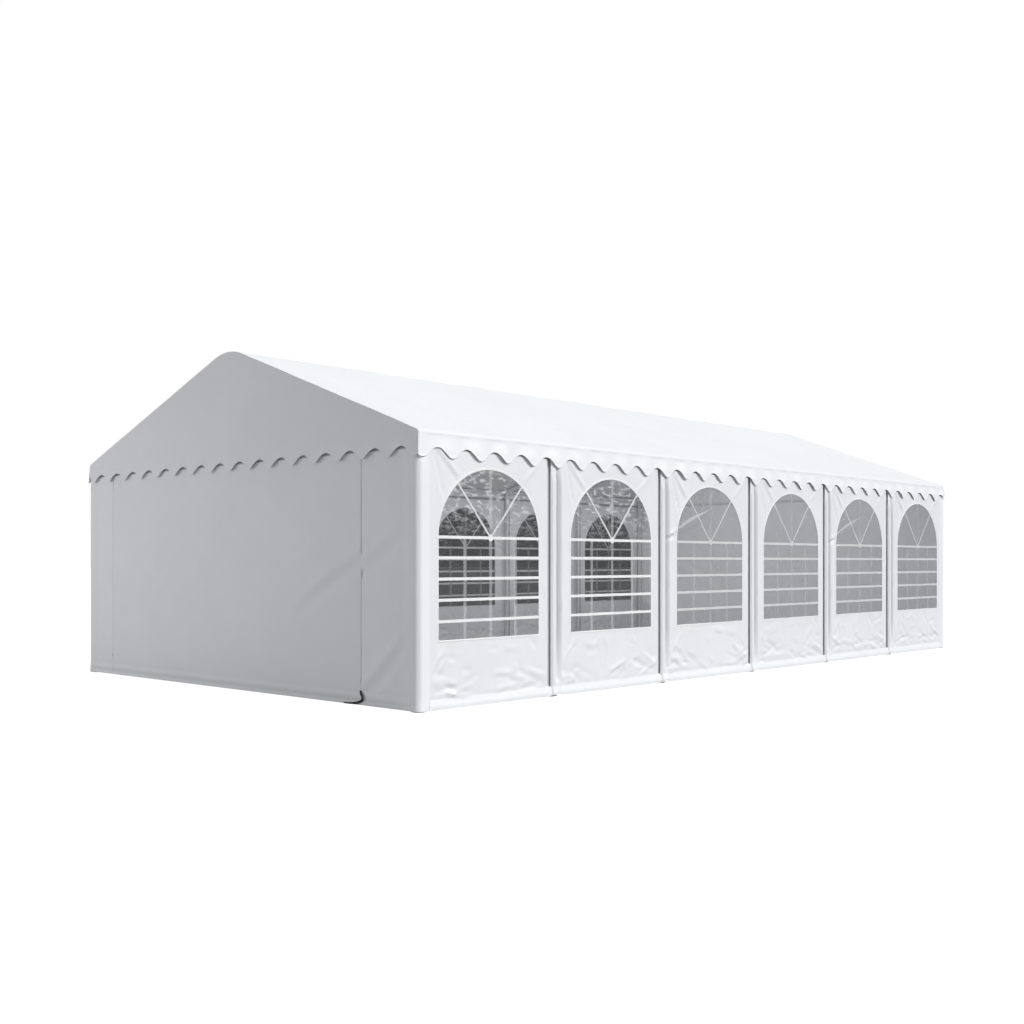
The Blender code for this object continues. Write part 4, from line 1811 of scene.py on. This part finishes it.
@dataclass
class DoorZip:
    """An upright zip beside a door leaf: its tape, teeth and slider."""

    plan: TentPlan
    side: Side
    name: str
    u: float
    leaf: DoorLeaf
    with_foot_band: bool
    tape_width: float = 0.026
    tooth_pitch: float = 0.009
    tooth_width: float = 0.006
    slider_height: float = 0.26
    foot: float = 0.035
    strap_width: float = 0.024
    strap_route: tuple[Point, ...] = (
        (5.194, 0.150), (5.203, 0.126), (5.228, 0.106), (5.238, 0.083), (5.218, 0.056),
        (5.168, 0.034), (5.104, 0.022), (5.030, 0.016), (4.950, 0.014),
    )

    def face(self, v: float) -> float:
        """How far the leaves' faces stand out at the zip."""
        return self.leaf.relief(self.u + 0.001, v) + 0.0006

    def build(self) -> None:
        """Makes the tape, the teeth and the slider, and the black foot band on one of the zips."""
        top = self.plan.wall_top - 0.02
        side = self.tape_width / 2
        tape = cloth_grid([self.u - side, self.u, self.u + side],
                          graded([self.foot, 0.2, top], 0.03))
        raise_relief(tape, lambda u, v: self.face(v) + 0.0004)
        thicken(tape, 0.001)
        teeth = bmesh.new()
        size = (self.tooth_width, 0.0022, self.tooth_pitch * 0.62)
        for number in range(int((top - self.foot) / self.tooth_pitch)):
            self.block(teeth, self.foot + number * self.tooth_pitch, 0.0014, size)
        slider = bmesh.new()
        self.block(slider, self.slider_height, 0.0035, (0.013, 0.006, 0.020))
        self.block(slider, self.slider_height, 0.0085, (0.008, 0.002, 0.034), drop=0.020)
        soften(slider, slider.edges[:], 0.0006)
        rows = [("tape", ZIP_TAPE, tape), ("teeth", ZIP_TEETH, teeth),
                ("slider", ZIP_TEETH, slider)]
        if self.with_foot_band:
            rows.append(("foot_band", BLACK_FOOT_BAND, self.foot_band()))
        for word, finish, bm in rows:
            piece = Piece(f"{self.side.word}_zip_{word}_{self.name}", finish, Slot.WALL)
            piece.place(bm, self.plan.wall_frame(self.side))

    def block(self, bm: Shape, v: float, proud: float,
              size: tuple[float, float, float], drop: float = 0.0) -> None:
        """Adds a small block that stands out from the zip's face at a height.

        Args:
            bm: The bmesh that takes it.
            v: The height at which the zip's face is read.
            proud: How far the block's middle stands out from it.
            size: The block's width, depth and height.
            drop: How far below that height its middle lies.
        """
        made = bmesh.ops.create_cube(bm, size=1.0)["verts"]
        spot = Matrix.Translation((self.u, -self.face(v) - proud, v - drop))
        bmesh.ops.transform(bm, matrix=spot @ Matrix.Diagonal((*size, 1.0)), verts=made)

    def foot_band(self) -> Shape:
        """A black band at the zip's foot, which curls round and lies along the hem.

        Returns:
            The strap as a bmesh.
        """
        last = float(len(self.strap_route) - 1)
        side = self.strap_width / 2
        bm = cloth_grid(graded([0.0, last], 0.25), [-side, 0.0, side])

        def place(step: float, across: float) -> Vector:
            """Where a place of the band lies beside the hem.

            Args:
                step: How many points along the route.
                across: The place across the strap.

            Returns:
                The place in the gable's frame.
            """
            here = self.on_route(step)
            ahead = self.on_route(min(step + 0.1, last))
            behind = self.on_route(max(step - 0.1, 0.0))
            along = (ahead - behind).normalized()
            taper = 1.0 - 0.45 * smooth_step(step, last - 3.0, last)
            u = here.x - along.y * across * taper
            v = max(here.y + along.x * across * taper, 0.004)
            lift = 0.006 + 0.010 * bump(step, 2.4, 1.2)
            return Vector((u, -foot_relief(v) - lift, v))

        shape(bm, place)
        bm.normal_update()
        if sum(face.normal.y for face in bm.faces) > 0:
            bmesh.ops.reverse_faces(bm, faces=bm.faces[:])
        thicken(bm, FABRIC_T)
        return bm

    def on_route(self, step: float) -> Vector:
        """A place on the smooth curve through the band's route, at so many points along it.

        Args:
            step: How many points along, which may lie between two of them.

        Returns:
            The place.
        """
        route = self.strap_route
        index = min(int(step), len(route) - 2)
        picks = (max(index - 1, 0), index, index + 1, min(index + 2, len(route) - 1))
        first, second, third, fourth = (Vector((*route[pick], 0)) for pick in picks)
        share = step - index
        return 0.5 * (
            2 * second + (third - first) * share
            + (2 * first - 5 * second + 4 * third - fourth) * share**2
            + (3 * second - first - 3 * third + fourth) * share**3
        )


@dataclass
class SteelFrame:
    """The round steel tubes, their fittings, feet and bolts."""

    plan: TentPlan
    tube: float = 0.030
    purlin: float = 0.025
    sleeve: float = 0.034
    fitting: float = 0.0344
    ground: float = 0.019
    ground_sleeve: float = 0.026
    ground_reach: float = 0.070
    eave_arm: float = 0.16
    mid_arm: float = 0.08
    ridge_arm: float = 0.06
    end_reach: float = 0.026
    chamfer: float = 0.0015
    plate: float = 0.008
    plate_side: float = 0.120
    plate_corner: float = 0.020

    def bolt(self, spot: Vector, out: Vector) -> Shape:
        """A hexagon bolt head on a washer."""
        bm = cylinder(spot, spot + out * 0.0022, 0.0105, 16)
        join_into(bm, cylinder(spot + out * 0.002, spot + out * 0.0085, 0.0075, 6, 0.0008))
        return bm

    def fit(self, bm: Shape, start: Vector, end: Vector) -> None:
        """Adds the sleeve of a fitting round a tube, from one place to another."""
        join_into(bm, cylinder(start, end, self.sleeve, 24, self.chamfer))

    def cross_sleeve(self, centre: Vector, low: float, high: float) -> Shape:
        """The level sleeve of a fitting, which holds a purlin that runs along the tent."""
        ends = centre + Vector((low, 0, 0)), centre + Vector((high, 0, 0))
        return cylinder(*ends, self.fitting, 24, self.chamfer)

    def half_portal(self, side: int, x: float, low: float, high: float) -> Shape:
        """A post, its foot, a rafter and their fittings on one side of a portal.

        Args:
            side: -1 for the front, 1 for the back.
            x: The portal's place along the tent.
            low: How far its sleeves reach towards -X.
            high: How far they reach towards +X.

        Returns:
            The half portal as a bmesh.
        """
        plan = self.plan
        sine, cosine = math.sin(plan.slope), math.cos(plan.slope)
        up, inward = Vector((0, 0, 1)), Vector((0, -side, 0))
        down, under = Vector((0, side * cosine, -sine)), Vector((0, -side * sine, -cosine))
        foot = Vector((x, side * plan.post_y, self.plate / 2))
        bar = Vector((x, side * plan.post_y, plan.bar_z))
        eave = Vector((x, side * plan.post_y, plan.eave_z))
        mid = Vector((x, side * plan.mid_y, plan.rafter_z(plan.mid_y)))
        touch = Vector((x, side * plan.bow_radius * sine, plan.bow_z + plan.bow_radius * cosine))
        bm = cylinder(foot, eave, self.tube, 24)
        join_into(bm, cylinder(eave, touch, self.tube, 24))
        self.fit(bm, eave - up * self.eave_arm, eave)
        self.fit(bm, eave - down * self.eave_arm, eave)
        self.fit(bm, mid - down * self.mid_arm, mid + down * self.mid_arm)
        self.fit(bm, touch - down * 0.004, touch + down * self.ridge_arm)
        for centre in (eave, mid):
            join_into(bm, self.cross_sleeve(centre, low, high))
        reach = self.ground_reach
        ends = bar + Vector((max(low, -reach), 0, 0)), bar + Vector((min(high, reach), 0, 0))
        join_into(bm, cylinder(*ends, self.ground_sleeve, 20, 0.0012))
        on_tube, on_sleeve = self.tube - 0.0005, self.sleeve - 0.001
        bolts = (
            (eave, -up * 0.12, inward, on_sleeve), (bar, up * 0.07, inward, on_tube),
            (eave, -down * 0.12, under, on_sleeve), (mid, -down * 0.055, under, on_sleeve),
            (mid, down * 0.055, under, on_sleeve), (touch, down * 0.035, under, on_sleeve),
        )
        for centre, along, out, radius in bolts:
            join_into(bm, self.bolt(centre + along + out * radius, out))
        return bm

    def foot_plate(self, corner: Point, side: int) -> Shape:
        """A foot plate with clipped corners.

        Args:
            corner: Its least X, and the Y of its edge towards the long wall.
            side: -1 for the front, 1 for the back.

        Returns:
            The plate as a bmesh.
        """
        bm = bmesh.new()
        bmesh.ops.create_cube(bm, size=1.0)
        half = self.plate_side / 2
        middle_spot = Vector((corner[0] + half, corner[1] - side * half, self.plate / 2))
        size = Matrix.Diagonal((self.plate_side, self.plate_side, self.plate, 1.0))
        move(bm, Matrix.Translation(middle_spot) @ size)
        upright = [edge for edge in bm.edges if not is_level(edge)]
        soften(bm, upright, self.plate_corner, segments=1)
        return bm

    def crown(self, x: float, low: float, high: float) -> Shape:
        """The bent ridge fitting, spun about the centre of its bend, and its sleeve.

        Args:
            x: The portal's place along the tent.
            low: How far the sleeve reaches towards -X.
            high: How far it reaches towards +X.

        Returns:
            The crown as a bmesh.
        """
        plan = self.plan
        bm = bmesh.new()
        bend = (x, 0, plan.bow_z)
        for radius in (self.tube, self.sleeve):
            ring = bmesh.new()
            turn = Matrix.Rotation(math.pi / 2, 4, "X")
            centre = Matrix.Translation((x, 0, plan.ridge_z))
            bmesh.ops.create_circle(ring, segments=24, radius=radius, matrix=centre @ turn)
            back = Matrix.Rotation(-plan.slope, 3, "X")
            bmesh.ops.rotate(ring, verts=ring.verts[:], cent=bend, matrix=back)
            bmesh.ops.spin(
                ring, geom=ring.verts[:] + ring.edges[:], cent=bend, axis=(1, 0, 0),
                angle=2 * plan.slope, steps=16,
            )
            rims = [edge for edge in ring.edges if edge.is_boundary]
            bmesh.ops.holes_fill(ring, edges=rims, sides=0)
            bmesh.ops.recalc_face_normals(ring, faces=ring.faces[:])
            join_into(bm, ring)
        join_into(bm, self.cross_sleeve(Vector((x, 0, plan.ridge_z)), low, high))
        return bm

    def build_portals(self) -> None:
        """Makes the portals, each where its node is. The two end ones have short outer sleeves."""
        plan = self.plan
        for number in range(1, plan.bays + 2):
            node = f"portal_frame_{number}"
            low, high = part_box(node)
            first, last = number == 1, number > plan.bays
            if first:
                x, plate_x = -plan.post_x, low.x
            elif last:
                x, plate_x = plan.post_x, high.x - self.plate_side
            else:
                x = (low.x + high.x) / 2
                plate_x = x - self.plate_side / 2
            reach_low = -self.end_reach if first else low.x - x
            reach_high = self.end_reach if last else high.x - x
            bm = self.crown(x, reach_low, reach_high)
            for side in (-1, 1):
                join_into(bm, self.half_portal(side, x, reach_low, reach_high))
                edge = side * (plan.half_width - 0.002)
                join_into(bm, self.foot_plate((plate_x, edge), side))
            Piece(f"portal_tubes_{number}", STEEL, Slot.STEEL, [node]).place(bm)

    def build_bars(self) -> None:
        """Makes the purlins, ground bars and gable beams, each in its node's place."""
        bars = [("ridge_purlin", 0, self.purlin)]
        for word in ("front", "back"):
            bars += [(f"{name}_purlin_{word}", 0, self.purlin) for name in ("eave", "mid")]
            bars.append((f"ground_bar_{word}", 0, self.ground))
        for word in ("left", "right"):
            bars.append((f"gable_beam_{word}", 1, self.purlin))
            bars.append((f"ground_bar_{word}", 1, self.ground))
        for node, axis, radius in bars:
            low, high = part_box(node)
            start, end = middle(node), middle(node)
            start[axis], end[axis] = low[axis], high[axis]
            bm = cylinder(start, end, radius, 20, 0.001)
            Piece(f"{node}_tube", STEEL, Slot.STEEL, [node]).place(bm)


@dataclass(frozen=True)
class Panel:
    """A soft light panel: where it stands, what it faces, its size and its power in watts."""

    name: str
    spot: tuple[float, float, float]
    aim: tuple[float, float, float]
    size: Point
    power: float


@dataclass
class Studio:
    """The pale floor, the soft lights, the white surroundings and the camera."""

    camera_place: tuple[float, float, float] = (-13.86, -11.02, 1.41)
    camera_heading: float = -45.14
    lens: float = 42.5
    shift: Point = (0.0766, 0.0483)
    sky: float = 0.33
    backdrop: float = 0.75
    glow_from: tuple[float, float, float] = (0.70, 0.55, 0.45)
    key: float = 2.90
    key_from: tuple[float, float, float] = (0.15, -0.69, 0.707)
    key_angle: float = 22.0
    panels: tuple[Panel, ...] = (
        Panel("side_glow", (-14, 9, 1.6), (-6, 2, 1.0), (3.0, 3.0), 275.0),
        Panel("low_glow", (-12.5, 0.8, 0.6), (-6, 0.8, 0.9), (2.4, 1.0), 34.0),
        Panel("inside_glow", (0, 0, 2.9), (0, 0, 0), (11.4, 4.4), 108.0),
        Panel("inside_lift", (0, 0, 0.4), (0, 0, 3), (11.0, 4.0), 30.0),
    )
    floor_size: float = 220.0
    floor_lift: float = 0.95

    def camera(self) -> None:
        """Sets the camera where the photograph was taken from."""
        data = bpy.data.cameras.new("camera")
        data.lens = self.lens
        data.sensor_width = 36.0
        data.shift_x, data.shift_y = self.shift
        data.clip_end = 500.0
        camera = bpy.data.objects.new("camera", data)
        camera.location = self.camera_place
        camera.rotation_euler = (math.radians(90), 0, math.radians(self.camera_heading))
        bpy.context.scene.collection.objects.link(camera)
        bpy.context.scene.camera = camera

    def light(self, name: str, kind: str, energy: float, towards: Vector,
              spot: Sequence[float] = (0, 0, 0)) -> bpy.types.Object:
        """Adds a light.

        Args:
            name: The light's name.
            kind: Blender's word for the kind of light.
            energy: Its strength.
            towards: The direction that its back faces, against the light's way.
            spot: Where it stands.

        Returns:
            The light's object.
        """
        data = bpy.data.lights.new(name, kind)
        data.energy = energy
        light = bpy.data.objects.new(name, data)
        light.location = spot
        light.rotation_euler = towards.to_track_quat("Z", "Y").to_euler()
        bpy.context.scene.collection.objects.link(light)
        return light

    def lights(self) -> None:
        """The soft key light from the front, two panels at the left gable and a glow inside."""
        key = self.light("key", "SUN", self.key, Vector(self.key_from))
        key.data.angle = math.radians(self.key_angle)
        for panel in self.panels:
            towards = Vector(panel.spot) - Vector(panel.aim)
            light = self.light(panel.name, "AREA", panel.power, towards, panel.spot)
            light.data.shape = "RECTANGLE"
            light.data.size, light.data.size_y = panel.size
            light.visible_camera = False
            light.visible_glossy = False

    def world(self) -> None:
        """White where the camera looks straight at it, dimmer as light and through two films."""
        world = bpy.data.worlds.new("surroundings")
        bpy.context.scene.world = world
        board = NodeBoard(world)
        board.tree.nodes.clear()
        path = board.add("LightPath").outputs
        clear = board.math("LESS_THAN", path["Transparent Depth"], 0.5)
        facing = board.add("VectorMath")
        facing.operation = "DOT_PRODUCT"
        board.put(facing.inputs[0], board.coords("Generated"))
        board.put(facing.inputs[1], Vector(self.glow_from).normalized())
        glow = board.spread(facing.outputs["Value"], 0.60, 0.97, self.sky, self.backdrop)
        light = board.add("Background", Color=(0.96, 0.98, 1.0, 1.0), Strength=glow)
        white = board.add("Background", Color=(1.0, 1.0, 1.0, 1.0))
        dark = board.add("Background", Color=(0.9, 0.95, 1.0, 1.0), Strength=0.05)
        seen = board.mix_shaders(clear, dark, white)
        either = board.mix_shaders(path["Is Camera Ray"], light, seen)
        board.add("OutputWorld", Surface=either.outputs[0])

    def floor(self) -> None:
        """A large pale floor, lifted to near white where the camera looks straight at it."""
        bm = bmesh.new()
        bmesh.ops.create_grid(bm, x_segments=1, y_segments=1, size=self.floor_size)
        mesh = bpy.data.meshes.new("studio_floor")
        bm.to_mesh(mesh)
        bm.free()
        floor = bpy.data.objects.new("studio_floor", mesh)
        floor.location.z = -0.0005
        board = NodeBoard.material("pale_floor")
        tone = board.spread(board.noise(board.coords(), 0.4, 3.0), 0.3, 0.7, 0.0, 1.0)
        path = board.add("LightPath").outputs
        straight = board.math("LESS_THAN", path["Transparent Depth"], 0.5)
        through = board.math("GREATER_THAN", path["Transparent Depth"], 2.5)
        lift = board.math("MULTIPLY", path["Is Camera Ray"], straight)
        hidden = board.math("MULTIPLY", path["Is Camera Ray"], through)
        pale = board.blend(tone, (0.31, 0.31, 0.31), (0.29, 0.29, 0.29))
        seen = board.blend(hidden, (1.0, 1.0, 1.0), (0.06, 0.06, 0.06))
        board.base(
            Base_Color=board.blend(1.0, pale, seen, "MULTIPLY"),
            Roughness=0.8,
            Specular_IOR_Level=0.2,
            Emission_Color=(1.0, 1.0, 1.0, 1.0),
            Emission_Strength=board.math("MULTIPLY", lift, self.floor_lift),
        )
        mesh.materials.append(board.owner)
        bpy.context.scene.collection.objects.link(floor)

    def build(self) -> None:
        """Sets up the whole studio."""
        self.camera()
        self.lights()
        self.world()
        self.floor()
        bpy.context.scene.view_settings.view_transform = "Standard"


def main() -> None:
    """Builds the tent's pieces in order, then the studio round it."""
    logging.basicConfig(level=logging.INFO, format="%(name)s: %(message)s")
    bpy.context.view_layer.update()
    plan = TentPlan.from_frame()
    arch = WindowArch.from_frame(plan)
    Studio().build()
    RoofCover(plan).build()
    for side in (Side.FRONT, Side.BACK):
        Valance(plan, side).build()
        for number in range(1, plan.bays + 1):
            WallPanel(plan, arch, side, number).build()
            Window(plan, arch, side, number).build()
    front_low, front_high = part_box("gable_side_leaf_left_1")
    back_low, back_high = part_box("gable_side_leaf_left_2")
    for side in (Side.LEFT, Side.RIGHT):
        GableSheet(plan, side).build()
        SideLeaf(plan, side, 1, front_high.y - front_low.y).build()
        SideLeaf(plan, side, 2, back_high.y - back_low.y).build()
        leaf = DoorLeaf(plan, side)
        leaf.build()
        DoorZip(plan, side, "1", leaf.end, leaf, with_foot_band=True).build()
        DoorZip(plan, side, "2", leaf.start, leaf, with_foot_band=False).build()
    steel = SteelFrame(plan)
    steel.build_portals()
    steel.build_bars()


if __name__ == "__main__":
    main()
